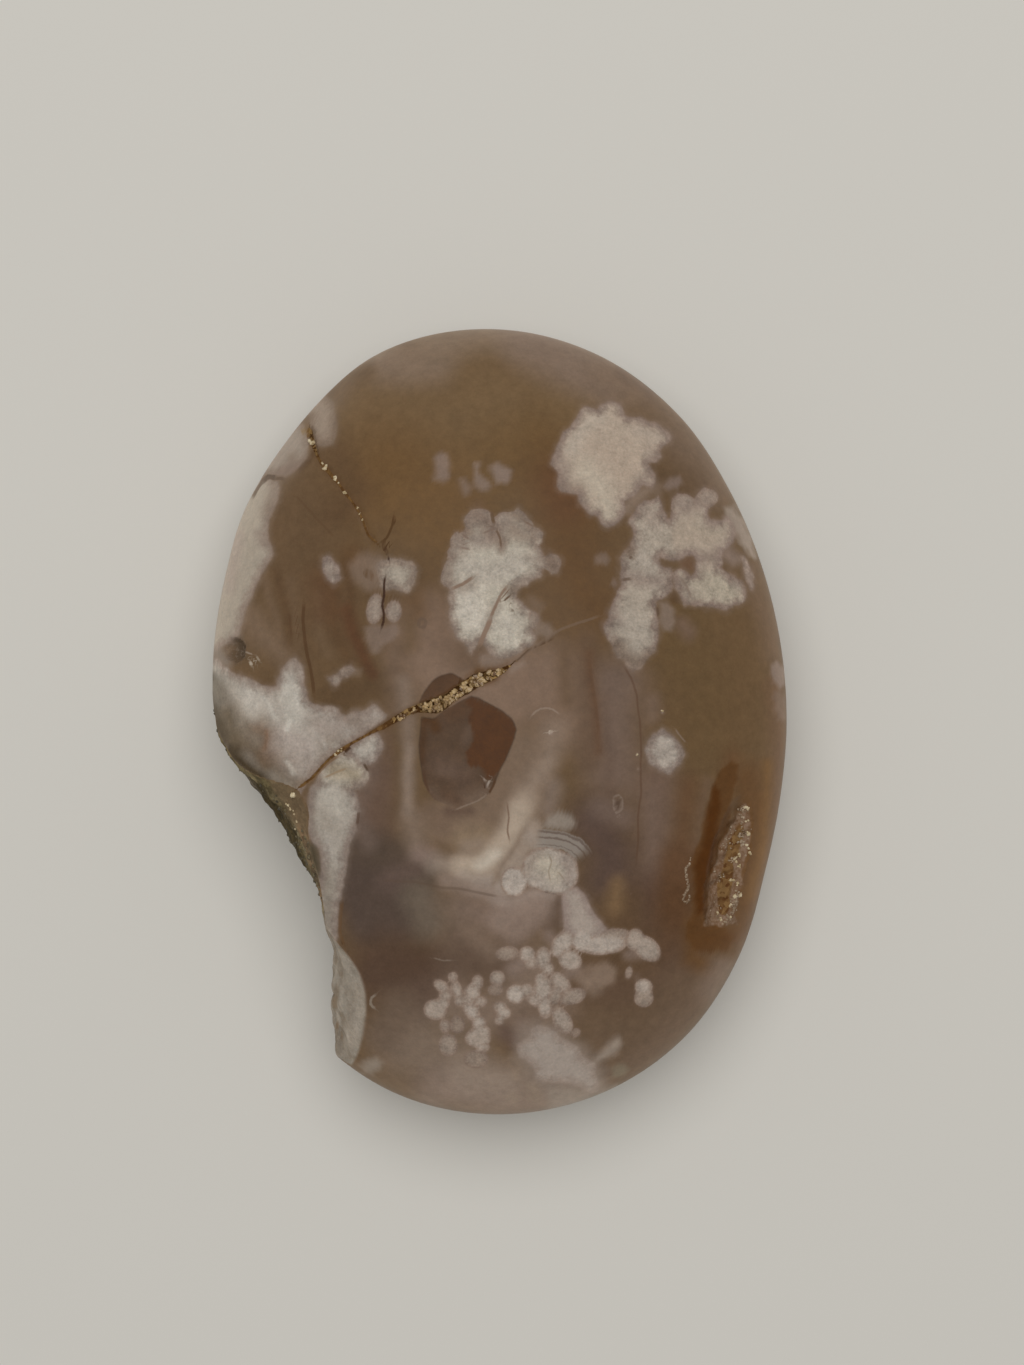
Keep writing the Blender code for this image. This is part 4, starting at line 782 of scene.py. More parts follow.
# Shading inside the crisp flowers, as bodyStrokes.
flowerStrokes = [
    ((186, 177, 164), .9, 1.3, 1.2, [-2.8, 10.6, -2.5, 9.2, -2, 8.4]),  # chalk flower
    ((182, 173, 160), .8, .8, .9, [.5, 8.4, .7, 6.8]),
    ((158, 147, 134), .6, .4, .6, [1.9, 9.4, 2.2, 8, 2.2, 6.8]),
    ((168, 158, 146), .75, 1, .9, [-2.6, 13, -1, 12.2, 1.4, 13]),
    ((136, 122, 110), .8, .5, .6, [-4.3, 11.8, -4.1, 13, -3.6, 13.8, -3.1, 14.4]),
    ((131, 114, 101), .85, .28, .35, [-.2, 16, .15, 15, .15, 14.2]),
    ((144, 130, 117), .8, .5, .6, [-3.9, 11.2, -3, 11.1, -2.4, 11.5]),
    ((150, 137, 124), .8, .35, .4, [-1.2, 7.4, -.8, 8.6, -.3, 9.6]),
    ((146, 131, 119), .7, .5, .6, [2.6, 13.6, 3.4, 13.3]),
    ((131, 116, 104), .85, .9, .6, [-2.3, 16.7, -1.4, 16.5, -1.1, 15.9]),
    ((121, 104, 92), .7, .35, .4, [-2.2, 17.2, -1.5, 17.1, -.7, 16.3]),
    ((138, 124, 112), .75, .5, .5, [.4, 16.4, 1.2, 16.2]),
    ((126, 111, 98), .8, .45, .45, [1.2, 17.2, 2, 16.8, 2.6, 16.3]),
    ((132, 116, 103), .85, .7, .7, [1, 15.6, 2.6, 15.3]),
    ((120, 101, 87), .8, .35, .4, [-3, 15.9, -2.4, 15.5]),
    ((138, 122, 112), .75, .45, .5, [-2, 14.9, -.9, 14.8, -.6, 15.4]),
    ((132, 117, 106), .7, .4, .5, [-3.6, 15.1, -3, 14.6]),
    ((124, 106, 93), .85, .6, .5, [4.1, 13.6, 4.6, 12.8]),
    ((122, 106, 92), .75, .5, .5, [.7, 10.9, 1.4, 11, 1.9, 10.6]),
    ((136, 121, 110), .7, .4, .5, [1.9, 11.6, 2.6, 12.2]),
    ((138, 122, 112), .7, .4, .5, [-2.6, 6.2, -2.2, 5.9]),
    ((146, 132, 120), .7, .5, .5, [-.9, 5.7, .3, 5.4]),
    ((82, 75, 63), .95, .85, .7, [-24, 3.2, -23.8, 1.8, -23.4, .4]),  # left white flower
    ((78, 66, 50), .95, .9, .8, [-23.3, -.2, -22.7, -1.2, -22, -2.2]),
    ((120, 107, 92), .8, .8, .9, [-22, 1, -21, -.4]),
    ((95, 80, 63), .95, .9, .9, [-21, -1.6, -20.1, -2.6, -19, -3.8, -17.9, -5]),
    ((66, 54, 38), 1, .7, .7, [-22.4, -2.8, -21.4, -3.6, -20.2, -4.5, -19, -5.3, -17.8, -6]),
    ((108, 88, 71), .95, .85, .8, [-19.9, -.7, -19.3, -1.3, -19, -2.6]),
    ((112, 96, 80), .8, .5, .6, [-17.6, -5.4, -16.4, -4.9]),
    ((146, 133, 122), .75, .6, .7, [-16.2, .2, -15.4, -.2]),
    ((132, 116, 104), .7, .3, .4, [-14.2, 12.9, -13.8, 12.4]),
    ((127, 112, 99), .8, .7, .8, [-18.6, -2.2, -18, -3.4]),
    ((141, 127, 113), .7, .5, .7, [-20.2, .6, -19.6, -.2]),
    ((138, 123, 112), .8, .5, .6, [-17.2, 5, -17, 3.8]),
    ((130, 117, 104), .8, .6, .7, [-14.6, -1.8, -13.4, -1.2, -12.4, -.8]),
    ((140, 131, 120), .7, .5, .7, [-22.3, 3.6, -22, 2.2]),
    # painted shade: a thin dark line along the left silhouette
    ((76, 64, 48), .95, .22, .25, [-24, 3.8, -24, 2.6, -23.85, 1.2, -23.65, .2, -23.35, -.8, -22.9, -1.8]),
    ((138, 123, 109), .8, .4, .5, [-9.7, 13.2, -8.4, 13.4, -7.2, 12.9]),
    ((138, 123, 112), .75, .5, .7, [-20.4, 3.2, -19.4, 2.7, -18.8, 3]),
    ((118, 108, 96), .8, .5, .6, [-23.3, 2.7, -22.8, 1.4, -22.4, .2]),
    ((124, 112, 98), .75, .5, .6, [-21.2, -1, -20.4, -1.6]),
    ((188, 181, 170), .8, .1, .18, [-19.6, 1.9, -19, .9, -18.6, .2]),
    ((132, 120, 110), .7, .1, .2, [-18.8, 2.1, -18.2, 1.1, -17.9, -.3]),
    ((134, 122, 112), .7, .1, .2, [-16.2, 2, -16, .6, -16.4, -.8]),
    ((184, 176, 165), .7, .12, .2, [-15.6, -.6, -14.8, -1.6, -14.2, -2.8]),
    ((136, 124, 113), .7, .1, .2, [-16.9, -1.2, -16.2, -2.2, -15.9, -3.4]),
    ((136, 123, 110), .75, .5, .6, [-14.8, -3, -14, -3.6]),
    ((163, 153, 140), .95, .6, .5, [-12.6, -3.5, -12.1, -4.5]),
    ((116, 101, 85), .8, .5, .5, [-12.9, .4, -12.2, .2, -11.4, -.3]),
    ((100, 87, 70), .85, .5, .6, [-22.7, .6, -22.3, -.4, -22, -1.4]),
    ((112, 103, 91), .85, .45, .4, [-23.7, 3, -23.4, 1.9]),
    ((120, 106, 92), .8, .3, .3, [-20.6, 4, -20.2, 3.5]),
    ((118, 100, 86), .8, .25, .3, [-20.2, 3.7, -19.7, 3.3]),
    ((180, 172, 161), .9, .7, 1, [-20.9, 2.3, -20.4, 1.1]),
    ((177, 170, 159), .85, .9, 1, [-17.8, 3.2, -17.2, 1.4, -17, .3]),
    ((162, 149, 140), .7, 1, 1, [-18, -1.6, -16.2, -2.2]),
    ((150, 137, 127), .8, 1.2, 1.1, [-14.4, -.4, -12.6, -.4, -11, .2]),
    ((162, 152, 142), .7, .4, .6, [-12.8, -.9, -12.5, -1.4]),
    ((136, 122, 110), .7, .4, .5, [-12.4, .1, -11.6, .2]),
    ((148, 135, 125), .75, .9, .9, [-17, -3.4, -15.8, -3.9]),
    ((132, 122, 110), .8, .4, .6, [-18.9, -4.5, -17.6, -5.2]),
    # painted highlights: three small streaks of the lamp's reflection on the polish
    ((192, 185, 174), .95, .13, .2, [-17.5, 0, -17.8, -.8]),
    ((190, 182, 171), .9, .12, .2, [-16.8, 1.9, -16.75, 1.3]),
    ((184, 176, 164), .9, .1, .2, [-17.8, -3.4, -17.2, -4.3]),
    ((116, 88, 66), .75, .12, .25, [-19.4, -.8, -19.5, -2.2]),
    ((174, 166, 154), .85, .7, .8, [-14, -5.8, -13.6, -7.4]),  # along the hollow
    ((150, 140, 128), .75, .7, .8, [-14.6, -8, -14, -9]),
    ((164, 156, 146), .7, .5, .7, [-14.4, -9.8, -14.2, -11.2]),
    ((132, 122, 110), .8, .9, .8, [-14.6, -13, -14.4, -16, -14.2, -18]),
    ((132, 120, 108), .7, .3, .4, [-15.6, -6.2, -15.7, -8.6, -15.2, -10.4]),
    ((150, 135, 112), .7, .6, .7, [-12, -4.6, -13.8, -4]),
    ((134, 118, 107), .8, .5, .6, [16.8, 13.6, 18, 13.6]),  # right flowers
    ((134, 118, 108), .75, .6, .6, [10.2, 12, 11.4, 11.8, 13.4, 11.6]),
    ((162, 151, 138), .8, 1, 1, [11, 8, 11.2, 6.4, 11.8, 7.6]),
    ((160, 149, 137), .7, .8, .8, [11.6, 13.6, 12.4, 13]),
    ((148, 133, 121), .7, .7, .7, [12, 17.4, 13, 16.6]),
    ((118, 102, 89), .85, .7, .7, [9.7, 6.2, 10.4, 5.2, 11.6, 4.7, 12.6, 5.3]),
    ((138, 123, 112), .6, .4, .5, [9.6, 9.6, 10, 8.2]),
    ((163, 152, 135), .8, .8, .9, [17.8, 11.4, 19.4, 10.8]),
    ((140, 125, 113), .7, .4, .5, [14.8, 11.8, 15.6, 10.8, 15.4, 10]),
    ((160, 145, 129), .8, .9, 1, [15.4, 15.6, 17.6, 15.8]),
    ((138, 122, 111), .75, .5, .6, [14.8, 18.2, 15.6, 17.6, 17.2, 18.4]),
    ((142, 130, 119), .95, .6, .6, [19.3, 12.2, 19.9, 11.5]),
    ((128, 111, 98), .8, .5, .5, [-.5, 15.4, .1, 14.8]),
    ((114, 95, 80), .8, .5, .5, [10.3, 14.6, 10.9, 14]),
    ((156, 143, 128), .95, .7, .6, [17, 16.6, 18, 16.4]),
    ((136, 120, 109), .7, .35, .45, [-20.1, 15.5, -19.6, 14.8]),  # left strip
    ((116, 100, 86), .8, .5, .6, [-17.2, 21.8, -17.6, 20.8]),
    ((114, 98, 88), .8, .5, .5, [17.2, 21.4, 17.8, 20.8]),
    ((126, 110, 97), .8, .5, .6, [-18.6, 19.8, -18.9, 18.6, -19.3, 17.4]),
    ((118, 100, 88), .8, .5, .5, [-16.9, 21.1, -17.8, 20.7, -18.4, 20.6]),
    ((152, 136, 126), .6, .4, .6, [-22.6, 11, -22.2, 13, -21.8, 15.4]),
    ((178, 166, 149), .75, .9, 1.1, [7.2, 20.8, 8.6, 19, 9, 17.4]),  # rose flower
    ((162, 145, 129), .7, 1, 1.2, [8.8, 22.4, 10.2, 21.4, 10.6, 20]),
    ((172, 160, 146), .7, .5, .8, [6, 22.6, 6.8, 24.4, 8.2, 25.2]),
    ((158, 144, 131), .7, .5, .7, [11.4, 24.2, 12.6, 23.6, 13.6, 23.6]),
    ((142, 126, 115), .75, .45, .6, [4.7, 22.2, 5.3, 21, 5.4, 19.6]),
    ((146, 131, 119), .65, .4, .6, [12.4, 22.2, 12.6, 20.6, 11.6, 19.8]),
    ((134, 117, 104), .8, .45, .5, [5.2, 19.6, 6.6, 19.2]),
    ((168, 158, 141), .75, .8, .9, [3.6, -11.8, 4.6, -12.8]),  # round flower
    ((142, 128, 118), .75, .45, .5, [5.7, -13.3, 6, -12.4, 5.5, -11.5]),
    ((140, 126, 114), .7, .3, .35, [2.2, -12.6, 2.6, -11.4, 3.4, -10.9]),
]

# Crisp lines: (tone, strength, half width, line). Dark hairlines, cracks and thin pale lines.
hairLines = [
    ((58, 40, 28), .95, .3, [-12.95, -2.2, -12.6, -2.45]),
    ((104, 82, 64), .85, .22, [-10.75, 12.3, -10.65, 11.8]),
    ((96, 70, 46), .5, .14, [-13.1, -15, -13.3, -16.4, -13.3, -17.6, -13, -18.6]),
    ((50, 34, 24), .9, .1, [-13.1, -18.4, -13, -18.55]),
    ((110, 90, 68), .5, .2, [-13.75, -22.9, -13.7, -23.9]),
    ((104, 82, 58), .5, .2, [-13.65, -24.9, -13.55, -25.6]),
    ((128, 106, 90), .9, .2, [-1.65, 6.3, -1.2, 7.5, -.8, 8.5]),
    ((124, 102, 86), .85, .11, [-.8, 8.5, -.35, 9.6, .05, 10.5, .6, 11.2]),
    ((88, 66, 50), .9, .07, [.35, 10, .9, 10.5]),
    ((122, 100, 84), .85, .13, [-4, 11, -3.1, 11.4, -2.2, 12]),
    ((100, 80, 64), .8, .08, [-.5, 16.1, 0, 15.3, .1, 14.5]),
    ((116, 98, 86), .7, .08, [-1.4, 15.6, -.4, 16]),
    # painted shade: two thin dark lines between the chalk flower's lobes
    ((116, 98, 86), .7, .08, [-3.1, 15.5, -2.5, 15.1]),
    ((116, 98, 86), .6, .08, [-3.3, 14.4, -2.5, 14.3]),
    ((112, 92, 78), .7, .08, [2, 16.6, 2.7, 16.2]),
    ((86, 68, 54), .9, .14, [.9, 9.3, .98, 9.2]),
    ((60, 42, 28), .9, .08, [-9.3, 13.7, -9.28, 13.3]),
    ((60, 42, 28), .95, .09, [-9.5, 12.1, -9.6, 11.2, -9.6, 10.4, -9.8, 9.6, -9.65, 9, -9.7, 8.3,
        -9.9, 7.7]),
    ((78, 56, 36), .8, .1, [-9.9, 14.8, -9.4, 15.2, -9.1, 15.95, -8.8, 16.7]),
    ((72, 50, 32), .9, .18, [-9.65, 14.5, -9.5, 14.1]),
    ((76, 52, 32), .8, .2, [-8.85, 16.5, -8.8, 16.9]),
    # dark line between two shoulder flowers; its upper-left end is a painted shade line along the outline
    ((85, 66, 50), .8, .12, [-20.6, 18.5, -20.1, 19.4, -19.6, 20.2, -19, 20.2, -17.8, 20.1]),
    ((78, 62, 48), .85, .2, [-19.8, 19.8, -19.3, 20.3, -18.6, 20.25]),
    ((100, 74, 38), .9, .24, [-16, 24.4, -15.75, 23.6]),
    ((124, 100, 66), .75, .2, [-16.4, 24.3, -16.3, 23.9]),
    ((88, 72, 52), .8, .13, [-15.45, 24.1, -15.4, 24]),
    ((94, 72, 52), .8, .3, [-11.1, 12.4, -11, 12.1]),
    ((90, 69, 51), .5, .1, [-17, 18.7, -16.5, 18.3, -16, 17.7, -15.2, 16.8, -14.5, 16.1, -13.8, 15.3]),
    ((88, 66, 52), .55, .08, [10.2, 4.6, 10.9, 3.5, 11.35, 2.2, 11.6, 0, 11.7, -2, 11.7, -6, 11.5, -8,
        11.5, -10, 11.3, -12]),
    ((92, 66, 48), .3, .12, [7.4, 5, 7.7, 3, 8, 1, 8.2, -1]),
    ((196, 184, 168), .95, .13, [4.15, -.92, 4.3, -.88]),
    ((80, 58, 41), .7, .13, [-16.3, 9.8, -16.4, 8.5, -16.2, 6.6, -15.9, 5, -15.6, 3.6, -15.4, 2.2]),
    ((96, 76, 58), .85, .14, [-.65, 17.3, -.55, 16.5]),
    ((86, 64, 47), .5, .09, [-17.5, 9, -17.4, 8, -17.3, 7]),
    ((112, 90, 74), .8, .07, [.6, -6.8, .75, -8, .6, -9.1, .8, -9.9]),
    ((92, 76, 64), .45, .1, [-9.8, -13.2, -7, -13.4, -5, -13.8, -3, -14, 0, -14.6]),
    ((150, 134, 120), .45, .07, [2.6, .4, 2.9, .75, 3.4, 1.02, 3.9, 1.08, 4.4, .95, 4.9, .6]),
    ((134, 117, 102), .55, .07, [-3.7, -7.4, -2.8, -7, -1.8, -6.6, -1.1, -6.2]),
    ((150, 136, 124), .9, .09, [-1.35, -4.8, -1.05, -5.2, -1, -5.5]),
    ((176, 164, 150), .9, .08, [-1.1, -5.1, -.85, -5]),
    ((66, 46, 34), .8, .08, [-1.3, -5.2, -1.15, -5.7]),
    ((78, 54, 36), .8, .09, [-.35, -4.8, -.55, -5.4, -.9, -6.1]),
    ((82, 60, 46), .7, .08, [-6.35, -4.2, -6.15, -5.2, -5.9, -5.9]),
    ((128, 112, 96), .6, .06, [4.1, -11.1, 4.3, -11.8, 4, -12.4, 4.2, -13.3]),
    ((128, 112, 96), .5, .06, [4.9, -12.6, 5.4, -13.2]),
    ((74, 58, 48), .5, .16, [9.8, -6.6, 9.8, -7.2]),
    ((128, 112, 100), .6, .08, [9.45, -6.3, 9.4, -7.2, 9.7, -7.7, 10.15, -7.3, 10.2, -6.5, 9.85, -6.15,
        9.45, -6.3]),
    ((134, 118, 106), .5, .06, [14.6, -.7, 15.4, -1.7]),
    ((116, 98, 84), .45, .1, [.7, 4.6, 1.6, 5.2, 3, 6.2, 5, 7.6, 6.6, 8.2, 8.3, 8.7]),
    ((78, 58, 42), .7, .07, [.5, 4.4, 1.5, 5.1, 2.4, 5.9, 3.4, 6.3, 4.4, 6.8]),
    ((138, 127, 114), .6, .1, [-10.3, -22.7, -10.75, -23.1, -10.75, -23.6, -10.4, -23.9]),
    ((146, 132, 118), .35, .05, [-5.5, -19.7, -4.8, -19.85, -4, -19.9]),
    ((116, 92, 68), .8, .1, [-13.4, -2.9, -14.2, -3.4, -15, -4.2, -15.6, -4.9, -16.6, -5.5]),
    ((136, 112, 86), .6, .08, [-14.6, -4.7, -13.5, -4.2, -12.9, -4]),
    ((96, 79, 66), .6, .1, [-6.8, 8.2, -6.6, 8.5, -6.2, 8.4, -6, 8, -6.3, 7.7, -6.7, 7.8, -6.8, 8.2]),
    ((146, 132, 118), .7, .06, [-21.3, 5.8, -20.6, 5.6]),
    ((170, 158, 142), .8, .12, [-20.75, 4.95, -20.65, 4.7]),
    ((150, 138, 122), .7, .07, [-20.2, 5.4, -20, 5]),
    ((92, 74, 60), .7, .12, [10.2, 11.7, 10.9, 11.8]),
    ((86, 68, 54), .8, .14, [10.85, 13.6, 11, 13.5]),
    ((90, 72, 60), .7, .1, [13.05, 9.4, 13.15, 8.8]),
    ((120, 104, 92), .6, .09, [14.9, 12, 15.5, 11.2, 15.9, 10.2]),
    ((76, 60, 46), .8, .1, [-11.3, -3.55, -11, -4.1]),
    ((88, 70, 58), .8, .12, [-11.75, -7.6, -11.85, -8.5]),
]

# The dark window: outer edges, and the strokes seen inside it.
windowEdges = [
    [-6.7, 1.5, -6.5, 2.2, -6, 2.9, -5.6, 3.4, -5.1, 3.7, -4.3, 4, -3.9, 3.95, -3.1, 3.5, -2.9, 3.3,
        -3.5, 2.7, -4.2, 2.3, -5, 2, -5.7, 1.7],
    [-6.55, .3, -5.5, .2, -4.7, .8, -3.6, 1.5, -2.4, 2.1, -1.8, 1.9, -.7, 1.3, .2, .85, .9, .3, 1.2, -.2,
        1.35, -.7, 1.2, -1.4, .9, -2.2, .5, -3.1, 0, -4.1, -.4, -5, -.8, -6, -1.3, -6.5, -2.3, -6.9,
        -3.1, -7.3, -3.8, -7.2, -4.8, -6.8, -5.5, -6.5, -6, -5.8, -6.35, -5, -6.5, -4, -6.7, -2.8,
        -6.75, -1.8, -6.6, -.6],
]
windowRed = [-3.1, 1.8, -2.3, 2, -.7, 1.3, .2, .7, .9, .1, 1.25, -.6, 1.2, -1.3, .9, -2.2, .5, -3.1, 0, -4.1,
    -.6, -4.7, -1.2, -4.8, -1.1, -4.2, -1.8, -3.7, -2.7, -3.6, -2.7, -2.6, -2.5, -2.2, -2.1, -1.6, -2.2, -1,
    -2.5, .2, -2.3, 1]
windowStrokes = [
    ((84, 62, 46), 1, 1.5, .8, [-5.6, 3, -4, 3.2]),
    ((86, 64, 48), .9, .8, .8, [-4, .8, -3, 1]),
    ((79, 56, 38), 1, .45, .4, [-6.2, 0, -5.6, 0, -5.4, -.6]),
    ((78, 57, 41), 1, .28, .3, [-6.4, -.6, -6.5, -2, -6.4, -3.4]),
    ((80, 59, 44), .8, .12, .2, [-6.3, -4, -6.1, -5.2, -5.8, -6]),
    ((108, 90, 76), .9, .9, .8, [-6, -6.4, -5, -6.9, -3.6, -7, -1.4, -6.4]),
    ((88, 68, 54), .8, .5, .5, [-4.4, -6.1, -3.5, -6.7]),
    ((88, 69, 56), .7, .4, .4, [-5.6, -6.2, -5.3, -6.8]),
    ((94, 76, 64), .8, 1, 1, [-4.8, -3.6, -3, -4.4]),
    ((100, 82, 70), .6, .4, .5, [-4.8, -4.2, -4, -4.3]),
    ((97, 79, 66), .7, .5, .5, [-2.8, -1.4, -2.5, -1]),
]

# The slit near the right edge and the fissure beside it.
slitInner = [20, -8.2, 19.5, -9.1, 19, -10.1, 18.8, -11.1, 18.5, -12.1, 18.1, -13.1, 18, -14.1, 18.1, -15.1,
    18.2, -16, 18.7, -16.2, 19.1, -15.8, 19.1, -14.8, 19.2, -13.8, 19.4, -12.8, 19.4, -11.8, 19.9, -10.9,
    20.2, -9.9, 20.3, -8.9]
slitCrust = [20.4, -7, 20.55, -8, 20.6, -9, 20.5, -10, 20.35, -10.9, 19.9, -11.6, 19.9, -12.5, 19.8, -13.4,
    19.6, -14.4, 19.5, -15.3, 19.2, -16.2, 18.6, -16.6, 18, -16.1]
# the bands over the round flower
greyArc = [2.7, -9.75, 3.4, -9.8, 4.2, -9.85, 5, -9.95, 5.7, -10.15, 6.3, -10.5, 6.8, -11, 7.1, -11.5]
fissure = [15.85, -11.3, .05, 15.75, -11.9, .06, 15.4, -12.3, .09, 15.5, -12.9, .1, 15.65, -13.6, .1,
    15.6, -14, .1, 15.25, -14.5, .08, 15.2, -14.9, .08, 15.5, -15.1, .08, 15.8, -14.8, .07,
    15.75, -14.4, .06]

# Invented flowers of the same kind: x, y, size, lobes. On the sides x and y run on past the edge;
# below they are plain places seen through the stone from above.
sideFlowers = [29.5, 6, 3.1, 7, 30.5, -2, 1.6, 5, 3, 38.5, 3, 6, -7, 37, 1.5, 5, 12, 36.5, 2, 6,
    27, 18.5, 2.4, 6,
               -5, -37.5, 3.4, 8, 4.5, -36, 2.2, 6, 19, -31.5, 2.6, 7, 27.5, -15, 2, 6, -19, 30.5, 2.2, 6,
                   -32, 1, 2.4, 6]
underFlowers = [-7, 12, 6, 9, -9, 3.5, 2.6, 6, 6.5, -5, 5, 8, 11.5, -10.5, 2.2, 6, -2, -17.5, 4.2, 7,
    4, -22, 2, 6,
                9.5, 14, 3.6, 7, 13, 7, 1.7, 5, -1, 23.5, 2.4, 6, 1.5, 4, 1.3, 5, -10, -8, 1.6, 6,
                    15, 0, 1.2, 5]


def lobedOutline(x, y, size, petals, seed):
    # Radius over angle: size x (1 + waves of petals, 2 and 3 x petals with seeded phases).
    chance = np.random.default_rng(seed)
    angle = np.linspace(0, 2 * math.pi, 72, endpoint=False)
    a, b, c, d = chance.uniform(0, 2 * math.pi, 4)
    radius = size * (.82 + .17 * np.sin(petals * angle + a) + .1 * np.sin(2 * petals * angle + b)
                     + .07 * np.sin(3 * petals * angle + c) + .2 * np.sin(2 * angle + d))
    return np.stack([x + radius * np.cos(angle), y + radius * np.sin(angle)], 1)


def layStrokes(tones, places, strokes):
    # Mixes each stroke's tone in by strength x (1 - smooth step across its soft edge).
    for tone, strength, half, soft, line in strokes:
        line = pairs(line)
        near = np.all((places > line.min(0) - half - soft) & (places < line.max(0) + half + soft), axis=1)
        gap = alongLine(places[near], np.c_[line, np.zeros(len(line))])[0]
        share = strength * (1 - smoothStep(half - soft, half + soft, gap))
        tones[near] += share[:, None] * (paintFrom(*tone) - tones[near])
    return tones


# even tones of the ground that the markings are laid on
groundTones = {
    "body": (99, 79, 58), "lowerZone": (116, 98, 82), "lowerDusk": (90, 68, 50),
    "window": (85, 67, 53), "windowRed": (83, 56, 38), "line": (90, 70, 55),
    "rind": (101, 90, 66), "rindDark": (80, 71, 50), "rindPale": (128, 116, 90),
    # the rind's darkest tone, (44, 36, 22), is painted shadow deep in the hollow
    "rindBrown": (106, 85, 64), "rindShadow": (44, 36, 22), "rindLip": (96, 81, 62),
    "rock": (116, 107, 96), "rockTan": (98, 78, 54), "rockPale": (146, 138, 127), "rockBrown": (106, 94, 80),
}
# heart and edge of a lobe: its dimmest tones, and what full brightness adds to them
lobeTones = {"dim": [(126, 109, 95), (118, 101, 89)], "rise": [(40, 45, 48), (22, 21, 20)]}
hollowLipOutline = [-19.2, -5, -18.7, -6, -17.6, -8, -16.1, -9.6, -15.4, -11.4, -14.6, -10,
                    -14.8, -6.4, -16.2, -4.6]
rindStrokes = [((78, 68, 53), .95, .55, .5, [-15.6, -10.4, -15.2, -11.6, -15, -13])]
rockStrokes = [((144, 134, 122), .8, .6, .7, [-11.4, -22, -11.8, -24.4, -12.2, -26.8])]


def flood(points, name):
    # One tone at every point.
    return np.tile(paintFrom(*groundTones[name]), (len(points), 1))


def mixIn(tones, share, name):
    # Moves the tones a share of the way to a named one.
    tones += share[:, None] * (paintFrom(*groundTones[name]) - tones)


def layBody(points, seen, push, zone, sway, fine):
    # The brown body with its arch and blurred flowers; below the waist it turns to broad drifting zones.
    body = flood(points, "body")
    dusk = smoothStep(-.1, .7, drift(points, 12, 33) + .3 * drift(points, 4, 34))
    lower = smoothStep(1, 9, push)
    mixIn(body, lower * zone * .9, "lowerZone")
    mixIn(body, lower * dusk * .8, "lowerDusk")
    layStrokes(body, seen + sway, bodyStrokes)
    layStrokes(body, seen + fine, archStrokes)
    ripple = .15 * drift(points, .5, 41)
    for tone, strength, soft, outline in ghosts:
        share = strength * smoothStep(-soft, soft, insideBy(seen + fine * .6, outline) + ripple)
        body += share[:, None] * (paintFrom(*tone) - body)
    return body


def layFlowers(points, seen, push, sway, fine):
    # All crisp flowers as one depth inside their edges. Where they meet, tones and grain are shared
    # out by e^(6 x depth).
    none = 1e-20
    bloom = np.full(len(points), -3.0)
    weight, speckle = np.full(len(points), none), np.full(len(points), none)
    heart, edge = [np.tile(none * paintFrom(*tone), (len(points), 1)) for tone in (cream, mauve)]
    ragged = np.ones(len(points))

    def addFlower(depth, heartTone, edgeTone, grainy=1.0):
        share = np.exp(np.clip(6 * depth, -40, 12))
        heart[:] += share[:, None] * paintFrom(*heartTone)
        edge[:] += share[:, None] * paintFrom(*edgeTone)
        weight[:] += share
        speckle[:] += share * grainy
        np.maximum(bloom, depth, out=bloom)

    for name, (heartTone, edgeTone, outline) in flowers.items():
        depth, soft = insideBy(seen + fine * .5, outline), softFlowers.get(name, 1)
        ragged = np.where(depth > np.maximum(bloom, -.8), soft, ragged)
        addFlower(depth, heartTone, edgeTone, .35 + .65 * soft)
    dim, rise = np.array(lobeTones["dim"]), np.array(lobeTones["rise"])
    for x, y, long, wide, turn, bright in pairs(lobes, 6):
        # a rounded ball: 1.5 x (1 - r^2) within its edge, 3 x (1 - r) past it
        off, long, wide = seen + fine * .3 - [x, y], long * 1.07, wide * 1.07
        c, d = math.cos(math.radians(turn)), math.sin(math.radians(turn))
        along, across = (off[:, 0] * c + off[:, 1] * d) / long, (off[:, 1] * c - off[:, 0] * d) / wide
        share = along ** 2 + across ** 2
        depth = np.where(share < 1, 1.5 * (1 - share), 3 * (1 - np.sqrt(share))) * wide
        ragged = np.where(depth > np.maximum(bloom, -.3), .25 if wide < 1 else .45, ragged)
        addFlower(depth, *(dim + bright * rise))
    for k, (x, y, size, petals) in enumerate(pairs(sideFlowers, 4)):
        depth = insideBy(seen + sway, lobedOutline(x, y, size, petals, 50 + k))
        addFlower(np.where(push > 0, depth, -6), cream, mauve)
    for k, (x, y, size, petals) in enumerate(pairs(underFlowers, 4)):
        depth = insideBy(points[:, :2] + sway, lobedOutline(x, y, size, petals, 80 + k))
        addFlower(np.where(push > 9, depth, -6), cream, mauve)
    speckle /= weight
    heart /= weight[:, None]
    edge /= weight[:, None]
    heart = layStrokes(heart, seen + fine, flowerStrokes)
    edge = np.minimum(edge, layStrokes(edge.copy(), seen + fine, flowerStrokes))
    return bloom, heart, edge, speckle, ragged


def layWindow(points, seen, fine):
    # The dark window: depth inside its edges, and the tones seen in it.
    window = np.maximum(*[insideBy(seen + fine * .3, outline) for outline in windowEdges])
    inside = layStrokes(flood(points, "window"), seen + fine, windowStrokes)
    redDepth = insideBy(seen + fine, windowRed) + .12 * drift(points, .35, 44)
    mixIn(inside, smoothStep(-.1, .1, redDepth), "windowRed")
    return window, inside


